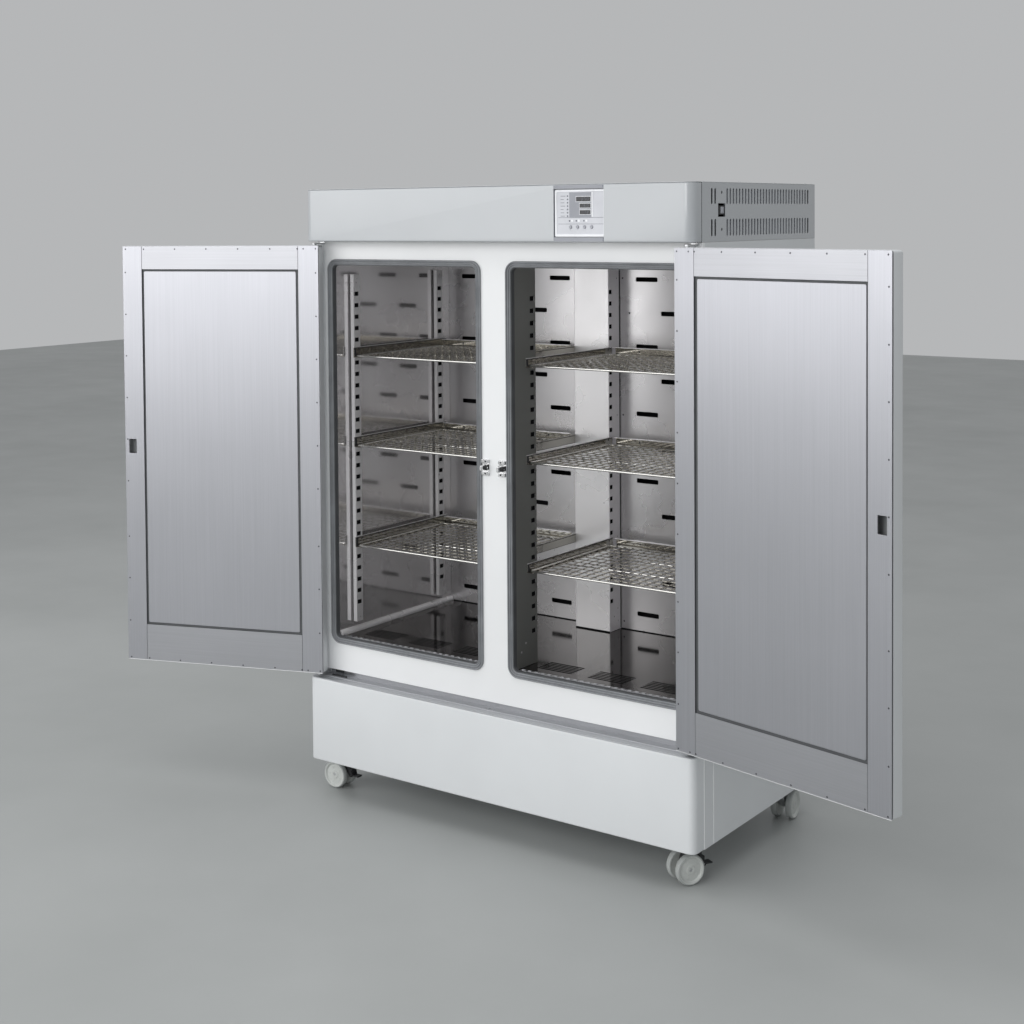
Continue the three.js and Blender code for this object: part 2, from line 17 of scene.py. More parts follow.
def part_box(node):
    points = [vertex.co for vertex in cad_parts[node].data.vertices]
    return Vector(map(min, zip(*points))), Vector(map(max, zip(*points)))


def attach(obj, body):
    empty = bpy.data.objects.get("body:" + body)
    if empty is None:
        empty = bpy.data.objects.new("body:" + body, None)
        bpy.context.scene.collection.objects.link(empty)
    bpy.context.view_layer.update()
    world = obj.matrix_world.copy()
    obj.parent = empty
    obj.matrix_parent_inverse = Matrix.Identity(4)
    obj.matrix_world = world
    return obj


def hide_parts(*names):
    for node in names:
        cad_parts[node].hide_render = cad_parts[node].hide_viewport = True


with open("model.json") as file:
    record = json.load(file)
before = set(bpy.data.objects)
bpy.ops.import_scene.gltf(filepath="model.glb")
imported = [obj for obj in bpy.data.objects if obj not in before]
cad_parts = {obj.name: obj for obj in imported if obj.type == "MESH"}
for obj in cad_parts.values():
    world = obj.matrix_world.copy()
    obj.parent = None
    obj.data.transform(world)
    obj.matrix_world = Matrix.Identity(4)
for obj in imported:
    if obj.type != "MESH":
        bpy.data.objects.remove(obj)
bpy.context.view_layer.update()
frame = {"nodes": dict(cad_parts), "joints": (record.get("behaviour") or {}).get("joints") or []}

# ---------------------------------------------------------------- places and sizes

MM = 0.001
base_low, base_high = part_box("base_front")
ORIGIN = Vector(((base_low.x + base_high.x) / 2, base_low.y, 0))
CABINET = Matrix.Translation(ORIGIN) @ Matrix.Scale(MM, 4)
MIRROR = Matrix.Diagonal((-1, 1, 1, 1))


def cad(node):
    """The CAD node's box in the cabinet's frame, in millimetres: (low, high)."""
    low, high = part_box(node)
    return (low - ORIGIN) / MM, (high - ORIGIN) / MM


JOINTS = {joint["name"]: joint for joint in frame["joints"]}


def pivot(joint_name):
    """A hinge's point in the cabinet's frame, in millimetres."""
    return (Vector(JOINTS[joint_name]["pos_m"]) - ORIGIN) / MM


HALF = (base_high.x - base_low.x) / 2 / MM
CORNER = 18  # radius of the base's upright front corners
HEADER_CORNER = 26
RETURN = cad("base_front")[1].y  # how far the front skins run back along the sides
SIDES = ((-1, "left"), (1, "right"))
BASE_BOTTOM, BASE_TOP = cad("base_front")[0].z, cad("base_front")[1].z
GASKET_LOW, GASKET_HIGH = cad("gasket_right")
CHAMBER_LOW, CHAMBER_HIGH = cad("chamber_wall_left")[0], cad("chamber_wall_right")[1]
FLOOR_TOP = cad("chamber_floor")[1].z
BACK_Y = cad("chamber_back")[0].y
HEADER_LOW, HEADER_HIGH = cad("header_fascia")
DEPTH = cad("rear_panel")[1].y
COLUMN_HALF = 56  # half the width of the rack's middle columns
SHELF_LEVELS = {name: cad(f"shelf_left_{name}")[0].z for name in ("low", "middle", "high")}

# ---------------------------------------------------------------- mesh tools


def rounded(x0, x1, y0, y1, radius, steps=6):
    """A rectangle's outline, anticlockwise. radius is one number or a list from the lower left on."""
    radii = radius if isinstance(radius, list) else [radius] * 4
    centres = [
        (x0 + radii[0], y0 + radii[0]),
        (x1 - radii[1], y0 + radii[1]),
        (x1 - radii[2], y1 - radii[2]),
        (x0 + radii[3], y1 - radii[3]),
    ]
    points = []
    for corner, (cx, cy) in enumerate(centres):
        r = radii[corner]
        start = math.pi * (1 + corner / 2)
        count = steps if r > 0 else 0
        for i in range(count + 1):
            angle = start + (math.pi / 2) * (i / max(count, 1))
            points.append((cx + r * math.cos(angle), cy + r * math.sin(angle)))
    return points


def slot(cx, cy, width, height, steps=4):
    """A slot's outline with fully round ends."""
    r = min(width, height) / 2 - 0.01
    return rounded(cx - width / 2, cx + width / 2, cy - height / 2, cy + height / 2, r, steps)


def circle(cx, cy, radius, steps=16):
    """A circle's outline, anticlockwise."""
    angles = [2 * math.pi * i / steps for i in range(steps)]
    return [(cx + radius * math.cos(a), cy + radius * math.sin(a)) for a in angles]


def middle(low, high):
    """The middle of a box."""
    return (low + high) / 2


def inside(point, loop):
    """Whether a point lies inside a closed outline."""
    crossings = 0
    for (x0, y0), (x1, y1) in zip(loop, loop[1:] + loop[:1]):
        if (y0 > point[1]) != (y1 > point[1]):
            crossings += point[0] < x0 + (point[1] - y0) / (y1 - y0) * (x1 - x0)
    return crossings % 2 == 1


def in_plan(x, y, h):
    """Places an outline in plan, with its heights along z."""
    return x, y, h


def upright(x, z, h):
    """Places an outline in the front plane, with its heights along y."""
    return x, h, z


def sideways(y, z, h):
    """Places an outline in a side plane, with its heights along x."""
    return h, y, z


PLANES = {"xy": in_plan, "xz": upright, "yz": sideways}


def soften(solid, edges, width, segments):
    """Bevels the edges of a solid."""
    bmesh.ops.bevel(solid, geom=edges, offset=width, segments=segments, profile=0.5, affect="EDGES")


class Part:
    """A piece in the making, from closed solids in millimetres. Each solid takes a material number.

    The number counts in the list of materials that finish is given.
    """

    def __init__(self):
        self.bm = bmesh.new()

    def _add(self, solid, material, smooth=True):
        """Takes in one whole solid, with its faces turned outward."""
        bmesh.ops.recalc_face_normals(solid, faces=solid.faces)
        for face in solid.faces:
            face.material_index = material
            face.smooth = smooth
        mesh = bpy.data.meshes.new("solid")
        solid.to_mesh(mesh)
        solid.free()
        self.bm.from_mesh(mesh)
        bpy.data.meshes.remove(mesh)
        return self

    def block(self, corners, material=0, bevel=0.0, segments=2):
        """A solid with six faces. Its corners run like a box's, with the last axis fastest."""
        solid = bmesh.new()
        v = [solid.verts.new(corner) for corner in corners]
        for quad in ((0, 1, 3, 2), (4, 6, 7, 5), (0, 4, 5, 1), (2, 3, 7, 6), (0, 2, 6, 4), (1, 5, 7, 3)):
            solid.faces.new([v[i] for i in quad])
        if bevel > 0:
            soften(solid, solid.edges[:], bevel, segments)
        return self._add(solid, material, bevel > 0)

    def box(self, x0, x1, y0, y1, z0, z1, bevel=0.5, material=0, segments=2):
        """A box with softened edges. Its two x may come in either order."""
        x0, x1 = sorted((x0, x1))
        corners = [(x, y, z) for x in (x0, x1) for y in (y0, y1) for z in (z0, z1)]
        return self.block(corners, material, bevel, segments)

    def plate(self, outline, holes, low, high, plane="xz", bevel=0.3, material=0):
        """A flat sheet between two heights, in either order, with holes through it and softened rims."""
        low, high = sorted((low, high))
        put = PLANES[plane]
        points, edges = [], []
        for loop in [outline, *holes]:
            start, count = len(points), len(loop)
            points += [Vector(point) for point in loop]
            edges += [(start + i, start + (i + 1) % count) for i in range(count)]
        flat, _, triangles, *_ = delaunay_2d_cdt(points, edges, [], 1, 1e-4)
        solid = bmesh.new()
        verts = [solid.verts.new(put(u, v, low)) for u, v in flat]
        for triangle in triangles:
            centre = sum((flat[i] for i in triangle), Vector((0, 0))) / 3
            if inside(centre, outline) and not any(inside(centre, hole) for hole in holes):
                solid.faces.new([verts[i] for i in triangle])
        caps = solid.faces[:]
        raised = bmesh.ops.extrude_face_region(solid, geom=caps, use_keep_orig=True)["geom"]
        top_verts = [g for g in raised if isinstance(g, bmesh.types.BMVert)]
        bmesh.ops.translate(solid, verts=top_verts, vec=Vector(put(0, 0, high - low)))
        if bevel > 0:
            flat = set(caps) | {g for g in raised if isinstance(g, bmesh.types.BMFace)}
            rims = [e for e in solid.edges if len({f in flat for f in e.link_faces}) == 2]
            soften(solid, rims, bevel, 1)
        return self._add(solid, material)

    def sweep(self, path, profile, place, closed_path=True, closed_profile=True, material=0):
        """Carries a profile of (inset, height) points along a path. path(inset) gives the path's points.

        An open profile is closed by a face over its first and its last row, an open path by its two ends.
        """
        solid = bmesh.new()
        rows = [[solid.verts.new(place(p[0], p[1], h)) for p in path(d)] for d, h in profile]
        count = len(rows[0])
        for i in range(len(rows) if closed_profile else len(rows) - 1):
            a, b = rows[i], rows[(i + 1) % len(rows)]
            for j in range(count if closed_path else count - 1):
                k = (j + 1) % count
                solid.faces.new((a[j], a[k], b[k], b[j]))
        if not closed_profile:
            solid.faces.new(rows[0])
            solid.faces.new(rows[-1])
        if not closed_path:
            solid.faces.new([r[0] for r in rows])
            solid.faces.new([r[-1] for r in rows])
        return self._add(solid, material)

    def lathe(self, profile, origin, axis, material=0, sides=32):
        """Turns (radius, height) points round an axis. The profile starts and ends on the axis."""
        solid = bmesh.new()
        axis = Vector(axis).normalized()
        side = axis.orthogonal().normalized()
        other = axis.cross(side)
        rows = []
        for r, h in profile:
            centre = Vector(origin) + axis * h
            angles = [2 * math.pi * i / sides for i in range(sides)] if r > 1e-6 else [0]
            spokes = [side * math.cos(a) + other * math.sin(a) for a in angles]
            rows.append([solid.verts.new(centre + spoke * r) for spoke in spokes])
        for a, b in zip(rows, rows[1:]):
            for i in range(sides):
                k = (i + 1) % sides
                corners = list(dict.fromkeys([a[i % len(a)], a[k % len(a)], b[k % len(b)], b[i % len(b)]]))
                if len(corners) > 2:
                    solid.faces.new(corners)
        return self._add(solid, material)

    def rod(self, start, end, radius, material=0, sides=20, bevel=0.3):
        """A round bar between two points with softened ends."""
        start, end = Vector(start), Vector(end)
        length = (end - start).length
        b = min(bevel, radius * 0.4, length * 0.4)
        foot = [(0, 0), (radius - b, 0), (radius, b)]
        head = [(radius, length - b), (radius - b, length), (0, length)]
        return self.lathe(foot + head, start, end - start, material, sides)

    def pan_screw(self, at, axis, radius=2.6, height=1.3, material=0, recess_shade_material=None):
        """A domed screw head that stands on a surface, with a dark cross in it that paints the shade in its
        recess.
        """
        rim = [(0, -0.4), (radius, -0.4), (radius, 0.25)]
        dome = []
        for i in range(1, 4):
            a = math.pi / 2 * i / 4
            dome.append((radius * math.cos(a), 0.25 + (height - 0.25) * math.sin(a)))
        self.lathe(rim + dome + [(0, height)], at, axis, material, 16)
        if recess_shade_material is None:
            return self
        axis = Vector(axis).normalized()
        side = axis.orthogonal().normalized()
        other = axis.cross(side)
        for a, b in ((side, other), (other, side)):
            along, across = a * radius * 0.6, b * radius * 0.13
            ends = [Vector(at) + axis * h for h in (height - 0.5, height)]
            bar = [end + i * along + j * across for i in (-1, 1) for j in (-1, 1) for end in ends]
            self.block(bar, recess_shade_material)
        return self

    def _sharpen(self):
        """Keeps curves smooth, but stops a broad flat face from shading into the narrow bevel beside it."""
        for edge in self.bm.edges:
            angle = edge.calc_face_angle(0)
            if angle < math.radians(12):
                continue
            areas = [face.calc_area() for face in edge.link_faces]
            edge.smooth = angle < math.radians(35) and max(areas) < 8 * min(areas)

    def finish(self, name, materials, slot_name, replaces=None, body="cabinet", place=CABINET, mirror=False):
        """Makes the Blender object, which rides on a body and may stand for a CAD node."""
        if mirror:
            bmesh.ops.transform(self.bm, matrix=MIRROR, verts=self.bm.verts)
            bmesh.ops.reverse_faces(self.bm, faces=self.bm.faces)
        bmesh.ops.transform(self.bm, matrix=place, verts=self.bm.verts)
        self._sharpen()
        mesh = bpy.data.meshes.new(name)
        self.bm.to_mesh(mesh)
        self.bm.free()
        piece = bpy.data.objects.new(name, mesh)
        bpy.context.scene.collection.objects.link(piece)
        for material in materials if isinstance(materials, list) else [materials]:
            mesh.materials.append(material)
        if replaces:
            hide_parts(replaces)
        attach(piece, body)
        return piece


def cut_window(piece, low, high):
    """Cuts a box out of a piece, whose corners are in the cabinet's frame in millimetres."""
    cutter = Part().box(low[0], high[0], low[1], high[1], low[2], high[2], 0)
    bmesh.ops.transform(cutter.bm, matrix=CABINET, verts=cutter.bm.verts)
    mesh = bpy.data.meshes.new("cutter")
    cutter.bm.to_mesh(mesh)
    cutter.bm.free()
    tool = bpy.data.objects.new("cutter", mesh)
    bpy.context.scene.collection.objects.link(tool)
    boolean = piece.modifiers.new("window", "BOOLEAN")
    boolean.operation = "DIFFERENCE"
    boolean.solver = "EXACT"
    boolean.object = tool
    depsgraph = bpy.context.evaluated_depsgraph_get()
    cut = bpy.data.meshes.new_from_object(piece.evaluated_get(depsgraph))
    piece.modifiers.clear()
    piece.data = cut
    bpy.data.objects.remove(tool)


# ---------------------------------------------------------------- materials


class Shader:
    """A material with a Principled shader and short ways to add texture nodes to it."""

    def __init__(self, name, color, roughness, metallic=0.0, **sockets):
        self.material = bpy.data.materials.new(name)
        self.material.use_nodes = True
        self.nodes = self.material.node_tree.nodes
        self.links = self.material.node_tree.links
        self.shader = self.nodes["Principled BSDF"]
        self.shader.inputs["Base Color"].default_value = (*color, 1)
        self.shader.inputs["Roughness"].default_value = roughness
        self.shader.inputs["Metallic"].default_value = metallic
        for socket, value in sockets.items():
            self.shader.inputs[socket.replace("_", " ")].default_value = value
        self.coordinates = self.nodes.new("ShaderNodeTexCoord").outputs["Object"]

    def noise(self, scale, stretch=(1, 1, 1), detail=3.0, roughness=0.55):
        """A noise in the piece's own coordinates, about 0.2 to 0.8."""
        mapping = self.nodes.new("ShaderNodeMapping")
        mapping.inputs["Scale"].default_value = stretch
        self.links.new(self.coordinates, mapping.inputs["Vector"])
        texture = self.nodes.new("ShaderNodeTexNoise")
        texture.inputs["Scale"].default_value = scale
        texture.inputs["Detail"].default_value = detail
        texture.inputs["Roughness"].default_value = roughness
        self.links.new(mapping.outputs["Vector"], texture.inputs["Vector"])
        return texture.outputs["Fac"]

    def spread(self, value, low, high, start=0.2, end=0.8):
        """Stretches start to end of a value over low to high."""
        node = self.nodes.new("ShaderNodeMapRange")
        node.inputs["From Min"].default_value = start
        node.inputs["From Max"].default_value = end
        node.inputs["To Min"].default_value = low
        node.inputs["To Max"].default_value = high
        self.links.new(value, node.inputs["Value"])
        return node.outputs["Result"]

    def tint(self, value, low, high, start=0.35, end=0.65):
        """Colours the surface from low to high by a value."""
        ramp = self.nodes.new("ShaderNodeValToRGB")
        ramp.color_ramp.elements[0].position = start
        ramp.color_ramp.elements[0].color = (*low, 1)
        ramp.color_ramp.elements[1].position = end
        ramp.color_ramp.elements[1].color = (*high, 1)
        self.links.new(value, ramp.inputs["Fac"])
        self.links.new(ramp.outputs["Color"], self.shader.inputs["Base Color"])
        return self

    def rough(self, value, low, high):
        """Varies the gloss by a value."""
        self.links.new(self.spread(value, low, high), self.shader.inputs["Roughness"])
        return self

    def bump(self, value, height, strength=1.0):
        """Adds a relief, in metres, on top of any earlier one."""
        node = self.nodes.new("ShaderNodeBump")
        node.inputs["Strength"].default_value = strength
        node.inputs["Distance"].default_value = height
        self.links.new(value, node.inputs["Height"])
        previous = self.shader.inputs["Normal"].links
        if previous:
            self.links.new(previous[0].from_socket, node.inputs["Normal"])
        self.links.new(node.outputs["Normal"], self.shader.inputs["Normal"])
        return self


def shade(color, factor):
    """A lighter or darker version of a colour."""
    return tuple(min(1.0, c * factor) for c in color)


def powder_coat(name, color, rough=(0.34, 0.46), **sockets):
    """Satin powder coat: fine orange peel, faint cloudiness and slightly uneven gloss."""
    s = Shader(name, color, 0.4, **sockets)
    s.tint(s.noise(2.2), shade(color, 0.965), shade(color, 1.02))
    s.rough(s.noise(14, detail=4), *rough)
    s.bump(s.noise(700, detail=2), 0.00004, 0.5)
    return s.material


def brushed(name, color, stretch, rough=(0.26, 0.4), streaks=0.5):
    """Stainless steel with fine grinding lines along one axis and soft handling marks."""
    s = Shader(name, color, 0.3, 1.0)
    lines = s.noise(1.0, stretch, detail=4, roughness=0.7)
    s.tint(lines, shade(color, 0.93), shade(color, 1.03), 0.3, 0.7)
    s.rough(s.noise(5, detail=5), *rough)
    s.bump(lines, 0.00003, streaks)
    return s.material


def polished(name, color, wave, rough, metallic=0.82, **sockets):
    """Bright-rolled stainless sheet: a soft mirror, a little wavy, with faint smears."""
    s = Shader(name, color, 0.1, metallic, **sockets)
    s.tint(s.noise(3.5, detail=3, roughness=0.45), shade(color, 0.93), shade(color, 1.04), 0.2, 0.8)
    s.rough(s.noise(9, detail=3, roughness=0.5), *rough)
    s.bump(s.noise(5, detail=1), wave, 0.6)
    return s.material


def plated(name, color, rough=(0.12, 0.24)):
    """Plated or bare metal on small parts, finely mottled."""
    s = Shader(name, color, 0.18, 1.0)
    s.tint(s.noise(30, detail=4), shade(color, 0.9), color)
    s.rough(s.noise(60, detail=4), *rough)
    s.bump(s.noise(250, detail=2), 0.00004, 0.3)
    return s.material


def moulded(name, color, rough=(0.42, 0.58), grain=1400, depth=0.00004, **sockets):
    """Moulded plastic with a fine spark-eroded grain."""
    s = Shader(name, color, 0.5, **sockets)
    s.tint(s.noise(12, detail=4), shade(color, 0.93), shade(color, 1.05))
    s.rough(s.noise(40, detail=3), *rough)
    s.bump(s.noise(grain, detail=2), depth, 0.5)
    return s.material


def rubbery(name, color):
    """Matt rubber or foam, a little dusty."""
    s = Shader(name, color, 0.6)
    s.tint(s.noise(18, detail=5), shade(color, 0.88), shade(color, 1.08))
    s.rough(s.noise(25, detail=4), 0.48, 0.66)
    s.bump(s.noise(900, detail=3), 0.00005, 0.6)
    return s.material


PAINT = powder_coat("casing_paint", (0.7, 0.72, 0.735))
# The header takes a darker copy of the casing's satin paint, painted shade that holds the brightly lit
# header down to the casing's tone. Its coat gives the gloss for the bend's highlight.
PAINT_HEADER = powder_coat(
    "header_paint_shaded", (0.455, 0.475, 0.495), (0.3, 0.38), Coat_Weight=0.8, Coat_Roughness=0.14
)
PAINT_FRAME = powder_coat("frame_paint", (0.84, 0.85, 0.86))
LINER = brushed("liner_steel", (0.43, 0.435, 0.465), (420, 420, 2.2), (0.3, 0.35), 0.35)
LINER_ACROSS = brushed("liner_steel_across", (0.43, 0.435, 0.46), (2.2, 2.2, 420), (0.32, 0.38), 0.35)
SILL = brushed("sill_steel", (0.54, 0.55, 0.57), (2.5, 420, 420), (0.4, 0.5), 0.3)
# A darker copy of the sill steel: on the sill's back edge it paints the shade under the face frame; the sill
# beads take it too.
SILL_EDGE = brushed("sill_edge_steel", (0.34, 0.345, 0.36), (2.5, 420, 420), (0.3, 0.4), 0.3)
CHAMBER = polished("chamber_steel", (0.88, 0.86, 0.87), 0.00003, (0.06, 0.1), 0.8)
# A darker copy of the chamber steel, painted shade that tones down the key light's reflection on the back
# wall.
CHAMBER_BACK = polished("chamber_back_steel_shaded", (0.58, 0.57, 0.58), 0.00003, (0.24, 0.32), 0.76)
# A much darker copy of the chamber steel with a dimmed edge tint, painted shade for the floor's dim
# reflections.
CHAMBER_FLOOR = polished(
    "chamber_floor_steel_shaded", (0.15, 0.145, 0.14), 0.00003, (0.07, 0.11), 0.95, Specular_Tint=(0.7, 0.7, 0.7, 1)
)
RACK = polished("rack_steel", (0.76, 0.75, 0.76), 0.00003, (0.24, 0.34), 0.5)
# A darker, olive copy of the chamber steel that paints the dark reflections on the runners' flanges; the
# rear strips take it too.
RUNNER = polished("runner_steel_shaded", (0.52, 0.5, 0.46), 0.00002, (0.05, 0.09), 0.95)
# A dark copy of the chamber steel that paints the shade on the front column's faces.
COLUMN = polished("column_steel", (0.19, 0.195, 0.185), 0.00002, (0.38, 0.46), 0.4)
# A light copy of the chamber steel that paints light on the rear column's shaded side.
COLUMN_REAR = polished("rear_column_steel_lit", (0.86, 0.84, 0.87), 0.00002, (0.3, 0.4), 0.25)
# One plated steel in two copies: the border's is brighter, the thin wires' darker, painted shade for the dim
# reflections on the inner wires.
BORDER = plated("shelf_border", (0.7, 0.69, 0.66))
WIRE = plated("shelf_wire", (0.42, 0.4, 0.355), (0.2, 0.34))
CHROME = plated("plated_steel", (0.82, 0.82, 0.83))
ZINC = plated("zinc_steel", (0.62, 0.63, 0.64), (0.25, 0.42))
SCREW = plated("screw_steel", (0.09, 0.09, 0.1), (0.35, 0.5))
# Near-black that paints the shade in screw recesses and the lock's keyway.
SCREW_RECESS_SHADE = moulded("screw_recess_shade", (0.02, 0.02, 0.022))
RUBBER = rubbery("gasket_rubber", (0.25, 0.26, 0.275))
# Dark rubber for the gaskets' trim; behind the door linings it paints the shade in the panel's groove.
DARK_RUBBER_AND_GROOVE_SHADE = rubbery("dark_rubber_and_groove_shade", (0.085, 0.09, 0.095))
BLACK = moulded("black_plastic", (0.018, 0.019, 0.021))
# A near-black finish that paints shade: in gaps and joints, in hollows seen through holes, in ducts and
# inside the header.
DARK = moulded("painted_shade_dark", (0.012, 0.012, 0.013), (0.8, 0.95), Specular_IOR_Level=0.05)
PANEL = moulded("panel_film", (0.42, 0.43, 0.47), (0.35, 0.45), 2000, 0.00002)
PANEL_LIGHT = moulded("panel_light", (0.6, 0.61, 0.65), (0.35, 0.45), 2000, 0.00002)
PANEL_GREY = moulded("panel_grey", (0.3, 0.31, 0.345), (0.35, 0.45), 2000, 0.00002)
PANEL_LINE = moulded("panel_line", (0.12, 0.13, 0.16))
BEZEL = moulded("bezel_white", (0.84, 0.85, 0.88), (0.25, 0.35))
WINDOW = moulded("display_window", (0.008, 0.009, 0.014), (0.12, 0.2), 300, 0.00001)
SEGMENT = moulded("display_segment", (0.1, 0.11, 0.13), (0.3, 0.4))
KEY = moulded("key_plastic", (0.45, 0.46, 0.5), (0.35, 0.5))
WHEEL = moulded("wheel_plastic", (0.56, 0.58, 0.56), (0.4, 0.55))
TREAD = rubbery("wheel_tread", (0.42, 0.44, 0.43))
FOAM = rubbery("foam", (0.8, 0.74, 0.5))
PIN = plated("inlet_pin", (0.6, 0.45, 0.2))

# ---------------------------------------------------------------- camera, light and floor


def aim(obj, forward, up):
    """Turns an object so that its local -Z looks along forward and its +Y points up."""
    z = -Vector(forward).normalized()
    x = Vector(up).cross(z).normalized()
    y = z.cross(x)
    obj.rotation_euler = Matrix((x, y, z)).transposed().to_euler()


def add_camera():
    """Stands to the right of the front at eye height and looks slightly down."""
    data = bpy.data.cameras.new("camera")
    data.sensor_width = 36
    # The lens, shift, place and angles were solved from the straight edges of the cabinet.
    data.lens = 56.975
    data.shift_x = 0.0565
    data.shift_y = -0.2336
    data.clip_end = 60
    camera = bpy.data.objects.new("camera", data)
    bpy.context.scene.collection.objects.link(camera)
    camera.location = ORIGIN + Vector((2398.2, -3321.9, 1601.7)) * MM
    yaw, pitch, roll = (math.radians(angle) for angle in (36.803, -2.013, -0.49))
    forward = Vector((-math.sin(yaw) * math.cos(pitch), math.cos(yaw) * math.cos(pitch), math.sin(pitch)))
    level = Vector((math.cos(yaw), math.sin(yaw), 0))
    up = level.cross(forward) * math.cos(roll) - level * math.sin(roll)
    aim(camera, forward, up)
    bpy.context.scene.camera = camera


def area_light(name, at, target, size, power, color=(1, 1, 1)):
    """A soft box at a point in metres, aimed at another one. Both are in the cabinet's frame."""
    data = bpy.data.lights.new(name, "AREA")
    data.shape = "RECTANGLE"
    data.size, data.size_y = size
    data.energy = power
    data.color = color
    light = bpy.data.objects.new(name, data)
    bpy.context.scene.collection.objects.link(light)
    light.location = ORIGIN + Vector(at)
    aim(light, Vector(target) - Vector(at), (0, 0, 1))


def add_world():
    """A plain, soft grey surround."""
    world = bpy.data.worlds.new("studio")
    bpy.context.scene.world = world
    world.use_nodes = True
    background = world.node_tree.nodes["Background"]
    background.inputs["Color"].default_value = (0.97, 0.985, 1.0, 1)
    background.inputs["Strength"].default_value = 0.48


def add_stage():
    """Three soft boxes and a plain floor."""
    bpy.context.scene.view_settings.view_transform = "Standard"
    add_world()
    area_light("key", (-2.7, -5.3, 2.4), (-0.2, 0.2, 1.0), (8.0, 3.8), 200, (1.0, 0.995, 0.99))
    area_light("fill", (1.5, -4.9, 2.6), (0.3, 0.0, 1.2), (1.3, 2.2), 42)
    area_light("top", (0, -0.4, 4.8), (0, 0.3, 0), (5.0, 4.0), 75)

    bm = bmesh.new()
    bmesh.ops.create_grid(bm, x_segments=8, y_segments=8, size=14)
    mesh = bpy.data.meshes.new("floor")
    bm.to_mesh(mesh)
    bm.free()
    floor = bpy.data.objects.new("floor", mesh)
    bpy.context.scene.collection.objects.link(floor)
    s = Shader("floor_finish", (0.62, 0.64, 0.63), 0.5)
    s.tint(s.noise(0.9, detail=4), (0.38, 0.395, 0.39), (0.42, 0.435, 0.43))
    s.rough(s.noise(3, detail=4), 0.4, 0.55)
    mesh.materials.append(s.material)


add_camera()
add_stage()

# ---------------------------------------------------------------- casing


def front_path(inset, corner=CORNER):
    """The bend of a front skin in plan, from the left return round to the right return."""
    x, r = HALF - inset, corner - inset
    points = [(-x, RETURN)]
    for side, start in ((-1, math.pi), (1, 1.5 * math.pi)):
        centre = (side * (HALF - corner), corner)
        for i in range(9):
            a = start + math.pi / 2 * i / 8
            points.append((centre[0] + r * math.cos(a), centre[1] + r * math.sin(a)))
    return points + [(x, RETURN)]


def folded_skin(bottom, top, fold):
    """The section of a skin whose lower and upper edges fold inward round a small radius."""
    r, sheet = 3.5, 1.5
    outer = [(fold, bottom), (r, bottom)]
    outer += [(r - r * math.sin(a), bottom + r - r * math.cos(a)) for a in (0.4, 0.8, 1.2)]
    outer += [(0, bottom + r), (0, top - r)]
    outer += [(r - r * math.cos(a), top - r + r * math.sin(a)) for a in (0.4, 0.8, 1.2)]
    outer += [(r, top), (fold, top), (fold, top - sheet), (r, top - sheet), (sheet, top - r)]
    return outer + [(sheet, bottom + r), (r, bottom + sheet), (fold, bottom + sheet)]


def build_base():
    """The bent front skin and the box behind it, with two beads of lighter frame paint up each side that
    paint the highlights along the side seams, and a drained tray.
    """
    skin = Part()
    skin.sweep(front_path, folded_skin(BASE_BOTTOM, BASE_TOP, 11), in_plan, closed_path=False)
    skin.finish("base_front_skin", PAINT, "casing", "base_front")

    low, high = cad("base_chassis")
    chassis = Part()
    front, seam = low.y + 47, 94.6
    notch = [(HALF, seam + 1.6), (HALF - 0.9, seam + 1.6), (HALF - 0.9, seam), (HALF, seam)]
    outer = [(-x, y) for x, y in reversed(notch)]
    outer = [(-HALF, front)] + outer + [(-HALF, high.y), (HALF, high.y)] + notch + [(HALF, front)]
    inner = [(HALF - 2, front), (HALF - 2, high.y - 2), (-HALF + 2, high.y - 2), (-HALF + 2, front)]
    chassis.plate(outer + inner, [], BASE_BOTTOM, BASE_TOP, "xy", 0.3)
    for side in (-1, 1):
        inner_x, outer_x = side * (HALF - 26), side * (HALF - 2)
        chassis.box(inner_x, outer_x, front, high.y - 2, BASE_TOP - 2, BASE_TOP, 0.4)
        # Each bead takes the lighter frame paint: a painted highlight along a seam on the shaded side.
        for y in (front - 0.8, seam + 0.8):
            x = side * (HALF - 0.6)
            chassis.rod((x, y, BASE_BOTTOM + 2), (x, y, BASE_TOP - 2), 1.9, 3, 14)
    tray = rounded(-HALF + 3, HALF - 3, 3, high.y - 3, [15, 15, 2, 2], 6)
    drains = [circle(x, y, 9, 20) for x in (-300, 0, 300) for y in (180, 500)]
    chassis.plate(tray, drains, BASE_BOTTOM + 0.2, BASE_BOTTOM + 3, "xy", 0.5)
    for y in (60, 200, 340, 480, 620):
        for x in (-HALF + 60, HALF - 60):
            chassis.pan_screw((x, y, BASE_BOTTOM + 0.2), (0, 0, -1), 3.6, 1.8, 1, 2)
    chassis.finish("base_chassis_box", [PAINT, ZINC, SCREW_RECESS_SHADE, PAINT_FRAME], "casing", "base_chassis")


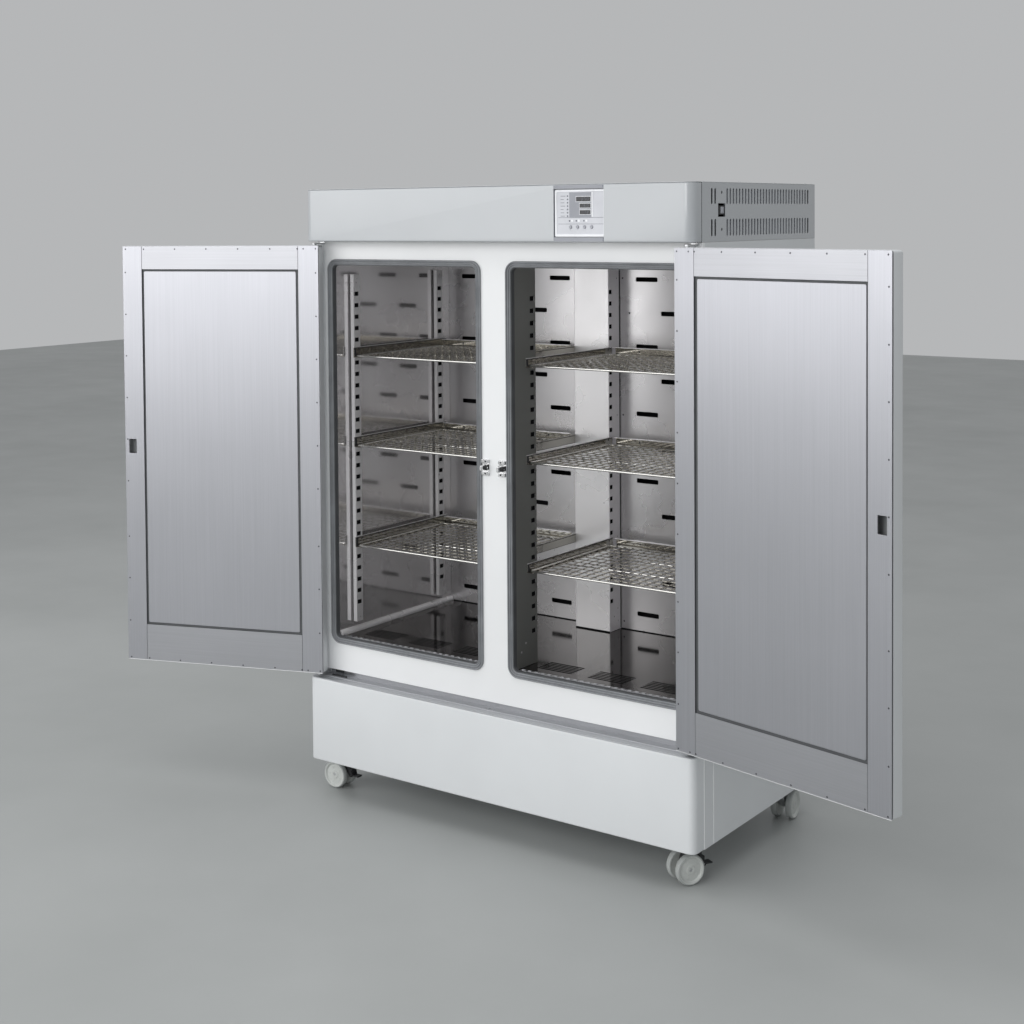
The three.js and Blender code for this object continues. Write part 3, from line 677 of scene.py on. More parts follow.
def build_sill():
    """The sill over the base: a drain hole, a drip rib, a turned-up back edge in darker steel that paints
    the shade under the face frame, and a dark left end.
    """
    low, high = cad("ledge_sill")
    sill = Part()
    outline = rounded(low.x + 1, high.x - 1, low.y, high.y, [CORNER, CORNER, 0, 0], 6)
    drain = slot(-17, 44, 9, 5, 6)
    sill.plate(outline, [drain], low.z, low.z + 2, "xy", 0.5)
    # The turned-up back edge takes the darker sill steel, painted shade under the face frame.
    sill.box(low.x + 2, high.x - 2, high.y - 2, high.y, low.z + 1.5, high.z, 0.4, 2)
    sill.box(-552, -500, 40, 44, low.z + 1.8, low.z + 6, 0.5, 1)
    sill.box(-554, -524, high.y - 3.4, high.y - 2, low.z + 6, high.z - 1, 0.4, 1)
    sill.box(low.x + 20, high.x - 20, 27.5, 28.7, low.z + 1.9, low.z + 2.7, 0.3)
    sill.finish("ledge_sill_plate", [SILL, BLACK, SILL_EDGE], "sill_steel", "ledge_sill")


def build_sides():
    """The flat side sheets, with a row of screws near the front and the back edge."""
    for side, name in SIDES:
        low, high = cad(f"side_panel_{name}")
        panel = Part()
        outline = rounded(low.y, high.y, low.z, high.z, 0.8, 2)
        panel.plate(outline, [], low.x, high.x, "yz", 0.5)
        face = high.x if side > 0 else low.x
        for y in (low.y + 14, high.y - 14):
            for i in range(5):
                z = low.z + 40 + i * (high.z - low.z - 80) / 4
                panel.pan_screw((face - side * 0.9, y, z), (side, 0, 0), 3, 0.8, 1, 2)
        panel.finish(f"side_panel_{name}_sheet", [PAINT, ZINC, SCREW_RECESS_SHADE], "casing", f"side_panel_{name}")


def build_rear():
    """The rear sheet with the inlet's cut-out, a service cover, vents and the screws round its edge."""
    low, high = cad("rear_panel")
    inlet_low, inlet_high = cad("mains_inlet")
    cx, _, cz = middle(inlet_low, inlet_high)
    rear = Part()
    holes = [rounded(cx - 14, cx + 14, cz - 10.5, cz + 10.5, 1, 2)]
    for row in range(6):
        for column in range(9):
            holes.append(slot(-170 + column * 42.5, 1574 + row * 13, 32, 5, 4))
    rear.plate(rounded(low.x, high.x, low.z, high.z, 1, 2), holes, low.y, high.y - 0.8, "xz", 0.3)
    rear.plate(rounded(-330, 330, 760, 1240, 6, 4), [], high.y - 0.8, high.y - 0.1, "xz", 0.25)
    for x in (-318, -106, 106, 318):
        for z in (772, 1228):
            rear.pan_screw((x, high.y - 0.8, z), (0, 1, 0), 3, 0.9, 1, 2)
    for z in (low.z + 16, 1539, high.z - 12):
        for i in range(9):
            x = low.x + 20 + i * (high.x - low.x - 40) / 8
            rear.pan_screw((x, high.y - 1.6, z), (0, 1, 0), 3, 1.4, 1, 2)
    rear.finish("rear_panel_sheet", [PAINT, ZINC, SCREW_RECESS_SHADE], "casing", "rear_panel")

    inlet = Part()
    face = inlet_high.y
    outline = rounded(inlet_low.x, inlet_high.x, inlet_low.z, inlet_high.z, 4, 5)
    mouth = rounded(cx - 12, cx + 12, cz - 8.5, cz + 8.5, [1, 1, 4, 4], 4)
    ears = [circle(cx + side * 18.5, cz, 1.6) for side in (-1, 1)]
    inlet.plate(outline, [mouth] + ears, face - 2, face, "xz", 0.4)
    sleeve = rounded(cx - 13.6, cx + 13.6, cz - 10.1, cz + 10.1, 1, 3)
    inlet.plate(sleeve, [mouth], inlet_low.y + 6, face - 1.5, "xz", 0.2)
    inlet.plate(sleeve, [], inlet_low.y, inlet_low.y + 6.4, "xz", 0.2)
    for x, z in ((cx - 7, cz - 2), (cx + 7, cz - 2), (cx, cz + 3)):
        inlet.box(x - 1, x + 1, inlet_low.y + 6, face - 4, z - 2.2, z + 2.2, 0.3, 1)
    for side in (-1, 1):
        inlet.pan_screw((cx + side * 18.5, face - 0.7, cz), (0, 1, 0), 2.6, 0.7, 2, 0)
    inlet.finish("mains_inlet_socket", [BLACK, PIN, ZINC], "black_plastic", "mains_inlet")


def build_face_frame():
    """The painted frame round the two openings. Its edges lie under the gaskets."""
    sheet = Part()
    low, high = cad("face_frame")
    inset = 16
    holes = []
    for side in (-1, 1):
        x0, x1 = sorted((side * (GASKET_LOW.x + inset), side * (GASKET_HIGH.x - inset)))
        holes.append(rounded(x0, x1, GASKET_LOW.z + inset, GASKET_HIGH.z - inset, 16, 8))
    sheet.plate(rounded(low.x, high.x, low.z, high.z, 1.2, 2), holes, low.y, high.y, "xz", 0.9)
    sheet.finish("face_frame_sheet", PAINT_FRAME, "casing", "face_frame")


# ---------------------------------------------------------------- header

ROOF_SCREWS = (60, 250, 440, 622)
VENT_SLOTS = [96, 113] + [174 + i * 16.2 for i in range(29)]
VENT_ROWS = ((1548, 1589), (1624, 1662))
VENT_SCREW_Y, VENT_SCREW_HEIGHTS = 146, (1652, 1564)


def header_path(inset):
    """The fascia's bend, which stops just short of the vent panels."""
    points = front_path(inset, HEADER_CORNER)
    return [(points[0][0], RETURN - 3.2)] + points[1:-1] + [(points[-1][0], RETURN - 3.2)]


def build_header():
    """The bent fascia with the control panel's window cut out of it, and the screwed roof."""
    low, high = HEADER_LOW, HEADER_HIGH
    window_low, window_high = cad("control_panel")
    fascia = Part()
    fascia.sweep(header_path, folded_skin(low.z, high.z, 9), in_plan, closed_path=False)
    skin = fascia.finish("header_fascia_skin", PAINT_HEADER, "casing", "header_fascia")
    x0, x1 = window_low.x - 0.4, window_high.x + 0.4
    cut_window(skin, (x0, -5, window_low.z - 0.4), (x1, 30, window_high.z + 0.4))
    # Above and below the window the skin is pressed in, so the panel stands in a groove of full height.
    cut_window(skin, (x0, -5, low.z + 1.5), (x1, 0.9, high.z - 2))

    # A dark box behind each end of the fascia paints the shadow in the gap between the fascia and the vent
    # panel.
    for side, name in SIDES:
        gap = Part()
        gap.box(side * (HALF - 4), side * (HALF - 1.2), RETURN - 5, RETURN + 2, low.z + 2, high.z - 4, 0.2)
        gap.finish(f"header_gap_shadow_{name}", DARK, "casing")

    roof = Part()
    low, high = cad("header_roof")
    radii = [HEADER_CORNER, HEADER_CORNER, 1, 1]
    top = high.z - 1.5
    roof.plate(rounded(low.x, high.x, low.y, high.y, radii, 8), [], low.z, top, "xy", 0.6)
    for x in (-560, -280, 0, 280, 560):
        roof.pan_screw((x, high.y - 18, top), (0, 0, 1), 3.4, 1.4, 1, 2)
    for side in (-1, 1):
        for y in ROOF_SCREWS:
            roof.pan_screw((side * (HALF - 7), y, top), (0, 0, 1), 3.6, 1.5, 1, 2)
    roof.finish("header_roof_sheet", [PAINT, ZINC, SCREW_RECESS_SHADE], "casing", "header_roof")


def build_vents():
    """The slotted panels at the header's sides, and what stands behind them."""
    for side, name in SIDES:
        low, high = cad(f"header_vent_{name}")
        holes = [slot(y, (z0 + z1) / 2, 8.6, z1 - z0, 4) for z0, z1 in VENT_ROWS for y in VENT_SLOTS]
        holes += [circle(VENT_SCREW_Y, z, 3.8) for z in VENT_SCREW_HEIGHTS]
        if side > 0:
            holes.append(rounded(127, 164, 1594, 1626, 1.5, 3))
        vent = Part()
        vent.plate(rounded(low.y, high.y, low.z, high.z, 0.8, 2), holes, low.x, high.x, "yz", 0.35)
        face = high.x if side > 0 else low.x
        for z in VENT_SCREW_HEIGHTS:
            vent.pan_screw((face - side * 1.6, VENT_SCREW_Y, z), (side, 0, 0), 3.2, 1.3, 1, 2)
        finishes = [PAINT_HEADER, SCREW, SCREW_RECESS_SHADE]
        vent.finish(f"header_vent_{name}_sheet", finishes, "casing", f"header_vent_{name}")

    # Behind the slots stand a plate, sheets and boards in the dark finish, painted shade inside the header;
    # every third board is zinc, and a grey sheet stands just inside each vent panel.
    electronics = Part()
    low, high = HEADER_LOW.z, HEADER_HIGH.z
    electronics.box(-HALF + 30, HALF - 30, 60, DEPTH - 30, low + 1, low + 4, 0.5)
    for x in (HALF - 36, -HALF + 33):
        electronics.box(x, x + 3, 170, DEPTH - 40, low + 3, high - 6, 0.5)
    for i in range(7):
        y = 210 + i * 60
        electronics.box(HALF - 33, HALF - 14, y, y + 22, low + 8, high - 22, 1, 1 if i % 3 == 1 else 0)
    for side in (-1, 1):
        electronics.box(side * (HALF - 9), side * (HALF - 8), 172, DEPTH - 30, low + 6, high - 8, 0.3, 2)
    electronics.finish("header_electronics", [DARK, ZINC, PANEL_GREY], "black_plastic")


def seven_segments(part, x, z, width, height, lit, y, material):
    """One display digit. lit holds the letters of the lit segments, a to g."""
    t = width * 0.16
    half = height / 2
    bars = {
        "a": (x + t, x + width - t, z + height - t, z + height),
        "g": (x + t, x + width - t, z + half - t / 2, z + half + t / 2),
        "d": (x + t, x + width - t, z, z + t),
        "f": (x, x + t, z + half + t / 2, z + height - t / 2),
        "b": (x + width - t, x + width, z + half + t / 2, z + height - t / 2),
        "e": (x, x + t, z + t / 2, z + half - t / 2),
        "c": (x + width - t, x + width, z + t / 2, z + half - t / 2),
    }
    for letter in lit:
        x0, x1, z0, z1 = bars[letter]
        part.box(x0, x1, y, y + 0.4, z0, z1, 0, material)


DIGITS = {"3": "abgcd", "7": "abc", "0": "abcdef", "5": "afgcd", "1": "bc", "2": "abged"}


# Each display's text, its window's left edge, bottom and top, its digits' left edge, bottom and height.
DISPLAYS = (
    ("370", 282, 1633.8, 1645.4, 296, 1636, 7),
    ("50", 292, 1618.6, 1628.8, 304, 1621, 5.4),
    ("12", 292, 1602.6, 1613, 304, 1605, 5.4),
)


def build_controls():
    """The control panel with its displays and marks, its four keys, and the mains switch on the side."""
    low, high = cad("control_panel")
    keys = [cad(f"key_{i}") for i in range(1, 5)]
    panel = Part()
    y = low.y
    wells = [circle(middle(*key).x, middle(*key).z, 4.5, 20) for key in keys]
    panel.plate(rounded(low.x, high.x, low.z, high.z, 1, 2), [], y + 5, high.y, "xz", 0.3)
    x0, x1 = low.x + 2.5, high.x - 0.3
    # The film lies a little deeper than its white rim. Sunk strips lie above and below the panel.
    film = rounded(x0 + 2, x1 - 1, low.z + 4, high.z - 5, 1, 2)
    panel.plate(film, wells, y + 1.4, y + 5.5, "xz", 0.3, 1)
    rim_outer = rounded(x0, x1, low.z + 1.2, high.z - 2.2, [2.5, 0.5, 0.5, 2.5], 4)
    rim_inner = rounded(x0 + 5, x1 - 1.2, low.z + 7, high.z - 7, [1.5, 0.5, 0.5, 1.5], 4)
    panel.plate(rim_outer, [rim_inner], y + 0.2, y + 3, "xz", 0.35, 2)
    panel.box(low.x, low.x + 2, y + 0.6, y + 4, low.z, high.z, 0.2, 6)
    for z0, z1 in ((HEADER_LOW.z + 2, low.z - 1), (high.z + 1, HEADER_HIGH.z - 2.4)):
        panel.box(low.x, high.x, 0.45, 0.85, z0, z1, 0, 3)
        panel.box(high.x - 2.4, high.x - 0.4, 0.3, 0.8, z0, z1, 0, 6)
    # A grey field with a light edge holds the displays. Each window has a light rim.
    panel.box(262, 325, y + 0.9, y + 1.6, 1596, 1656, 0.2, 3)
    panel.box(325.6, 329, y + 0.6, y + 1.6, 1596, 1656, 0.3, 2)
    window_end, rim = 323, 1.2
    for text, x0, z0, z1, digit_x, digit_z, height in DISPLAYS:
        panel.box(x0 - rim, window_end + rim, y + 0.5, y + 1.2, z0 - rim, z1 + rim, 0.3, 2)
        panel.box(x0, window_end, y + 0.1, y + 1.0, z0, z1, 0.3, 4)
        for i, digit in enumerate(text):
            seven_segments(panel, digit_x + i * 8.2, digit_z, 5.4, height, DIGITS[digit], y - 0.1, 5)
    # A column of marks with a line beside each, two rules, and a row of marks over the keys.
    for i in range(7):
        z = 1647.3 - i * 8.1
        panel.lathe([(0, 0), (1.9, 0), (1.9, 0.5), (0, 0.9)], (257, y + 1.4, z), (0, -1, 0), 6, 12)
        panel.box(237, 251 - (i * 5) % 7, y + 1.15, y + 1.5, z - 0.5, z + 0.5, 0, 6)
    for z in (1595, 1579.4):
        panel.box(230, high.x - 2, y + 1.1, y + 1.6, z - 0.35, z + 0.35, 0, 6)
    for x in (262.6, 282, 303.6):
        panel.lathe([(0, 0), (1.9, 0), (1.9, 0.6), (0, 1.0)], (x, y + 1.4, 1587), (0, -1, 0), 6, 12)
        panel.box(x + 4, x + 10, y + 0.9, y + 1.5, 1584.5, 1590, 0.3, 2)
    finishes = [PANEL, PANEL_LIGHT, BEZEL, PANEL_GREY, WINDOW, SEGMENT, PANEL_LINE]
    panel.finish("control_panel_face", finishes, "panel", "control_panel")

    for i, (a, b) in enumerate(keys, 1):
        cx, _, cz = middle(a, b)
        depth = b.y - a.y
        key = Part()
        top = [(3.9, depth - 0.7), (3.4, depth - 0.1), (2.2, depth - 0.35), (0, depth - 0.5)]
        key.lathe([(0, 0), (3.9, 0)] + top, (cx, b.y, cz), (0, -1, 0), 0, 24)
        key.box(cx - 1.6, cx + 1.6, a.y + 0.2, a.y + 0.6, cz - 0.7, cz + 0.7, 0, 1)
        key.finish(f"key_{i}_cap", [KEY, PANEL_LINE], "keys", f"key_{i}", f"key_{i}")

    low, high = cad("mains_switch")
    _, cy, cz = middle(low, high)
    rocker = Part()

    def outline(inset):
        return rounded(low.y + inset, high.y - inset, low.z + inset, high.z - inset, max(2 - inset, 0.3), 4)

    cap = [(0, high.x - 1.6), (0.8, high.x - 0.4), (1.6, high.x - 0.2), (3.2, high.x - 0.9)]
    rocker.sweep(outline, [(0, low.x + 3)] + cap, sideways, closed_profile=False)
    rocker.rod((low.x + 3, cy - 14, cz), (low.x + 3, cy + 14, cz), 3)
    rocker.box(high.x - 1.4, high.x - 0.3, cy - 3, high.y - 2.6, low.z + 3, high.z - 3, 0.4, 1)
    rocker.box(high.x - 0.6, high.x - 0.1, cy + 2, cy + 7, cz - 5.6, cz - 4.6, 0, 0)
    rocker.finish("mains_switch_rocker", [BLACK, PANEL], "black_plastic", "mains_switch", "switch_rocker")


# ---------------------------------------------------------------- chamber


AIR_SLOTS = [
    (side * (143 + column * 79), 486 + 187 * (row + (column % 2) / 2))
    for side in (-1, 1)
    for column in range(5)
    for row in range(6 - column % 2)
]
FLOOR_GRILLES = [side * x for side in (-1, 1) for x in (136.5, 288.5, 441)]


def build_chamber():
    """The polished sheets of the chamber: slotted back, floor with grilles, walls and ceiling."""
    low, high = cad("chamber_back")
    back = Part()
    holes = [rounded(x - 34, x + 34, z - 6.2, z + 6.2, 3, 3) for x, z in AIR_SLOTS]
    back.plate(rounded(low.x, high.x, low.z, high.z, 0.5, 1), holes, low.y, high.y, "xz", 0.5)
    for side in (-1, 1):
        for x, z in ((66, 459), (66, 1041), (66, 1424), (88, 1327)):
            back.pan_screw((side * x, low.y, z), (0, -1, 0), 2.5, 0.8, 1)
    back.finish("chamber_back_sheet", [CHAMBER_BACK, SCREW], "chamber_steel", "chamber_back")

    low, high = cad("chamber_floor")
    floor = Part()
    holes = [slot(x, 116 + i * 11.8, 106, 7.8, 3) for x in FLOOR_GRILLES for i in range(6)]
    floor.plate(rounded(low.x, high.x, low.y, high.y, 0.5, 1), holes, high.z - 0.5, high.z, "xy", 0.1)
    # A plate in the dark finish under each grille paints the shade below it.
    for x in FLOOR_GRILLES:
        floor.box(x - 58, x + 58, 108, 184, low.z + 0.1, low.z + 0.6, 0, 1)
    floor.finish("chamber_floor_sheet", [CHAMBER_FLOOR, DARK], "chamber_steel", "chamber_floor")

    for name in ("chamber_wall_left", "chamber_wall_right", "chamber_ceiling"):
        a, b = cad(name)
        wall = Part()
        wall.box(a.x, b.x, a.y, b.y, a.z, b.z, 0.4)
        wall.finish(f"{name}_sheet", CHAMBER, "chamber_steel", name)

    # A bar with a rounded face closes the corner between each side wall and the floor.
    for side, name in SIDES:
        wide, tall = 9, 15
        x = side * (CHAMBER_HIGH.x - 2.3)
        angles = [i * math.pi / 14 for i in range(8)]
        curve = [(x - side * wide * math.cos(a), FLOOR_TOP + 0.3 + tall * math.sin(a)) for a in angles]
        bar = Part()
        bar.plate([(x, FLOOR_TOP + 0.3)] + curve, [], CHAMBER_LOW.y + 2, BACK_Y - 1, "xz", 0.3)
        bar.finish(f"floor_bar_{name}", RACK, "chamber_steel")

    # Thin boxes in the dark finish paint the shadow in the joints between the sheets.
    seams = Part()
    for side in (-1, 1):
        x0, x1 = side * (COLUMN_HALF + 1), side * (CHAMBER_HIGH.x - 3)
        seams.box(x0, x1, BACK_Y - 1.0, BACK_Y - 0.2, FLOOR_TOP + 0.2, FLOOR_TOP + 2.4, 0.2)
        x0, x1 = side * (COLUMN_HALF - 6), side * (COLUMN_HALF + 0.4)
        seams.box(x0, x1, BACK_Y - 3.8, BACK_Y - 0.4, 440, 1466, 0.3)
    seams.box(-COLUMN_HALF, COLUMN_HALF, 518.9, 519.7, FLOOR_TOP + 0.2, FLOOR_TOP + 3.4, 0.2)
    seams.finish("chamber_seam_shadows", DARK, "chamber_steel")

    # A low strip with a row of raised tabs runs along the inner edge of each opening's sill.
    beads = Part()
    for side in (-1, 1):
        beads.box(side * 64, side * 532, 64, 74, FLOOR_TOP + 0.2, FLOOR_TOP + 2.2, 0.4)
        for i in range(24):
            x = side * (74 + i * 19.6)
            beads.box(x - 5.5, x + 5.5, 65, 70, FLOOR_TOP + 2, FLOOR_TOP + 4.6, 1.0)
    beads.finish("sill_beads", SILL_EDGE, "chamber_steel")


def build_insulation():
    """Foam slabs round the chamber, with sheets in the dark finish that paint the shade in the air ducts
    behind the slotted wall and under the grilles.
    """
    low, high = cad("insulation")
    wall, floor, top, back = CHAMBER_HIGH.x + 1.2, FLOOR_TOP - 8, CHAMBER_HIGH.z + 8, BACK_Y + 30
    deep = BACK_Y + 56
    # The fan's bay is an opening in the rear slab.
    bay, bay_low, bay_high = 400, 800, 1200
    foam = Part()
    foam.box(-wall, wall, low.y, high.y, low.z, floor - 14, 1)
    foam.box(-wall, wall, low.y, high.y, top, high.z, 1)
    foam.box(-wall, wall, deep, high.y, floor - 14, top, 1)
    for side in (-1, 1):
        foam.box(side * wall, side * high.x, low.y, high.y, low.z, high.z, 1)
        foam.box(side * bay, side * wall, back, deep, floor - 14, top, 1)
        # Sheets in the dark finish paint the shade in the ducts behind the slotted wall.
        x0, x1 = side * (bay + 2), side * (wall - 2)
        foam.box(x0, x1, back - 2, back - 0.6, bay_low - 2, bay_high + 2, 0.4, 1)
    for z0, z1 in ((floor - 14, bay_low), (bay_high, top)):
        foam.box(-bay, bay, back, deep, z0, z1, 1)
    # More dark sheets paint the shade above, below and behind the fan's bay, and under the floor.
    for z0, z1 in ((floor - 12, bay_low - 2), (bay_high + 2, top - 2)):
        foam.box(-wall + 2, wall - 2, back - 2, back - 0.6, z0, z1, 0.4, 1)
    foam.box(-bay + 2, bay - 2, deep - 4, deep - 2, bay_low + 2, bay_high - 2, 0.4, 1)
    foam.box(-wall + 2, wall - 2, low.y + 6, BACK_Y, floor - 13.4, floor - 12, 0.4, 1)
    foam.finish("insulation_slabs", [FOAM, DARK], "foam", "insulation")


HOLE_HEIGHTS = [523 + 32 * i for i in range(28)]


def hook_holes(y0, y1):
    """The rectangular holes for the runners' hooks, from the middle of each at HOLE_HEIGHTS."""
    return [rounded(y0, y1, z - 5.8, z + 5.8, 0.5, 1) for z in HOLE_HEIGHTS]


def runner(part, x, side, level, height):
    """A shelf runner: a flange at x, a foot reaching out to side, a folded upper edge with a black strip
    under it that paints its shadow, and a dark end cap.
    """
    front, back, wall, foot = 112, 536, 1.6, 17
    top = level + height
    part.box(x, x + side * wall, front, back, level - wall, top, 0.4, 3)
    part.box(x, x + side * 2.6, front, back, top - 1.8, top, 0.5, 0)
    # A black strip under the fold paints the shadow beneath it.
    part.box(x, x + side * 2.6, front + 2, back - 2, top - 4.4, top - 2.4, 0.3, 2)
    part.box(x, x + side * foot, front, back, level - wall, level, 0.4, 3)
    part.box(x - side, x + side * 3.4, front + 0.2, front + 9, level + 2, top - 2, 1.0, 2)
    for y in (front + 26, back - 20):
        part.pan_screw((x + side * wall, y, level + height * 0.7), (side, 0, 0), 2.4, 0.8, 2)


RACK_FINISHES = [RACK, DARK, BLACK, RUNNER, COLUMN, COLUMN_REAR]


def build_side_rack(name, levels):
    """Two slotted posts on a side wall, each a folded channel: front lip, slotted face and rear leg."""
    rack = Part()
    low = cad("rack_left")[0]
    face, bottom, top, width, lip = low.x + 17.6, 468, 1441, 26, 13
    for y in (116, 497):
        face_plate = rounded(y, y + width, bottom, top, 0.8, 2)
        rack.plate(face_plate, hook_holes(y + 2.6, y + 22), face - 1.6, face, "yz", 0.25)
        rack.box(face - lip, face - 0.2, y, y + 1.6, bottom, top, 0.5)
        rack.box(face - lip, face - lip + 1.6, y + 0.2, y + 9, bottom, top, 0.5)
        rack.box(low.x, face - 0.2, y + width - 1.6, y + width, bottom, top, 0.4)
        # A box in the dark finish inside the channel paints the shade seen through its hook holes.
        rack.box(face - lip + 3, face - 4, y + 3, y + width - 3, bottom + 2, top - 2, 0.2, 1)
        for z in (bottom + 12, top - 12):
            rack.pan_screw((face, y + width / 2, z), (1, 0, 0), 2.6, 0.8, 0, 1)
    for level in levels:
        runner(rack, face - 0.6, 1, level, 28)
    rack.finish(f"rack_{name}_posts", RACK_FINISHES, "rack_steel", f"rack_{name}", mirror=name == "right")


def build_columns(levels):
    """The two slotted columns on the middle line, one behind the mullion and one against the back wall."""
    low, high = cad("rack_centre")
    columns = Part()
    for y0, y1, holes in (
        (low.y, 158, hook_holes(133, 155)),
        (520, high.y, hook_holes(523, 539) + [circle(565, z, 2.4, 12) for z in (462, 700, 1041, 1424)]),
    ):
        for side in (-1, 1):
            face = rounded(y0, y1, low.z, high.z, 0.6, 1)
            # The front column's faces take the dark copy, painted shade; the rear column's take the light
            # copy, painted light on its shaded side.
            finish = 4 if y0 < 200 else 5
            columns.plate(face, holes, side * COLUMN_HALF, side * (COLUMN_HALF - 2), "yz", 0.3, finish)
        # A core in the dark finish paints the shade seen through the hook holes.
        columns.box(-52, 52, y0 + 3, y1 - 3, low.z + 2, high.z - 2, 0.2, 1)
        open_face = y1 - 2 if y0 < 200 else y0
        columns.box(-COLUMN_HALF + 1, COLUMN_HALF - 1, open_face, open_face + 2, low.z, high.z, 0.4)
        for side in (-1, 1):
            for z in (478, 498):
                columns.pan_screw((side * COLUMN_HALF, y0 + 22 + (z - 478), z), (side, 0, 0), 2.6, 0.8, 0, 1)
    for level in levels:
        for side in (-1, 1):
            runner(columns, side * (COLUMN_HALF - 0.6), side, level, 23)
    columns.finish("rack_centre_columns", RACK_FINISHES, "rack_steel", "rack_centre")


def build_racks():
    """The side racks, the middle columns and the strips behind the shelves."""
    levels = [z - 0.4 for z in SHELF_LEVELS.values()]
    build_side_rack("left", levels)
    build_side_rack("right", levels)
    build_columns(levels)

    # An upright strip behind each shelf joins its two runners.
    strips = Part()
    for level in levels:
        for side in (-1, 1):
            x0, x1 = side * 74, side * 521
            strips.box(x0, x1, 527, 528.4, level - 1, level + 24, 0.4, 2)
            strips.box(x0, x1, 516.5, 528.4, level + 22.6, level + 24, 0.4)
            for x in (side * 150, side * 300, side * 450):
                strips.pan_screw((x, 527, level + 14), (0, -1, 0), 2.6, 1.0, 1)
    strips.finish("rack_rear_strips", [RACK, SCREW_RECESS_SHADE, RUNNER], "rack_steel")


def build_shelf(half, level_name):
    """A wire shelf: a border wire, thin wires from front to back, and cross wires under them."""
    name = f"shelf_{half}_{level_name}"
    low, high = cad(name)
    border = 3.0
    z = low.z + border
    columns, rows = 18, 12
    shelf = Part()

    def path(inset):
        d = border + inset
        return rounded(low.x + d, high.x - d, low.y + d, high.y - d, 6 - inset, 6)

    angles = [i * math.pi / 6 for i in range(12)]
    section = [(border * math.cos(a), z + border * math.sin(a)) for a in angles]
    shelf.sweep(path, section, in_plan, material=1)
    # The thin wires take the darker copy, painted shade; the border and every fourth cross wire keep the
    # brighter one.
    for i in range(1, columns):
        x = low.x + border + i * (high.x - low.x - 2 * border) / columns
        shelf.rod((x, low.y + 2, z + 1.4), (x, high.y - 2, z + 1.4), 1.5, 0, 8)
    for i in range(1, rows):
        y = low.y + border + i * (high.y - low.y - 2 * border) / rows
        stout = i % 4 == 0
        shelf.rod((low.x + 2, y, z - 0.9), (high.x - 2, y, z - 0.9), 1.8 if stout else 1.3, int(stout), 8)
    shelf.finish(f"{name}_grid", [WIRE, BORDER], "shelf_wire", name, name)


# The seal's face as (inset, depth behind its front): a tall outer lip and two lower ribs.
SEAL_FACE = (
    (0, 3.6), (0.5, 1.4), (1.8, 0.2), (3.4, 0.4), (4.4, 2.2), (5.0, 4.4), (6.0, 4.6), (6.8, 2.6), (7.8, 1.2),
    (9.2, 1.4), (10.0, 3.2), (10.6, 4.8), (11.6, 4.8), (12.4, 3.0), (13.4, 2.2), (14.6, 2.8), (15.4, 4.6),
)


def build_gaskets():
    """Ribbed rubber seals round the openings, each with a dark trim that lines the opening's edge."""
    low, high = GASKET_LOW, GASKET_HIGH
    back, front = high.y, low.y
    ribs = [(0, back)] + [(inset, front + depth) for inset, depth in SEAL_FACE] + [(15.4, back)]
    trim = [(15.5, back), (15.5, front + 5), (17.3, front + 5), (17.3, back + 13), (16.1, back + 13)]

    def path(inset):
        return rounded(low.x + inset, high.x - inset, low.z + inset, high.z - inset, max(30 - inset, 13), 10)

    for half in ("left", "right"):
        gasket = Part()
        gasket.sweep(path, ribs, upright)
        gasket.sweep(path, trim, upright, material=1)
        node = f"gasket_{half}"
        gasket.finish(f"{node}_seal", [RUBBER, DARK_RUBBER_AND_GROOVE_SHADE], "gasket", node, mirror=half == "left")


# ---------------------------------------------------------------- hinges, keepers, doors


DOOR_BOTTOM, DOOR_TOP = cad("door_left_shell")[0].z, cad("door_left_shell")[1].z
DOOR_THICK = 42
HINGE_X, HINGE_Y = 578, 17
DOOR_X0, DOOR_X1 = -20, 576
KEEPER_Z = 955


def build_hinges():
    """Brackets over and under each door: a tongue with a pin and a washer, and a lug against the frame."""
    x, y = HINGE_X, HINGE_Y
    washer = [(0, 0), (7.4, 0), (7.4, 0.6), (6.4, 1.1), (0, 1.3)]
    for half in ("left", "right"):
        for level in ("lower", "upper"):
            a, b = cad(f"hinge_{level}_right")
            lower = level == "lower"
            tongue = a.z + (4 if lower else 13)
            outline = rounded(x - 9, x + 9, y - 9, b.y - 0.2, [8.9, 8.9, 0.5, 0.5], 8)
            hinge = Part()
            hinge.plate(outline, [], tongue, tongue + 4, "xy", 0.6)
            hinge.box(x - 9, x + 9, b.y - 1.4, b.y, a.z if lower else tongue, b.z, 0.4)
            hinge.rod((x, y, a.z + 0.1), (x, y, b.z - 0.1 if lower else tongue + 3), 5, 0, 24, 0.6)
            seat = (x, y, tongue if lower else tongue + 4)
            hinge.lathe(washer, seat, (0, 0, -1 if lower else 1), 0, 28)
            node = f"hinge_{level}_{half}"
            hinge.finish(f"{node}_bracket", ZINC, "bright_metal", node, mirror=half == "left")


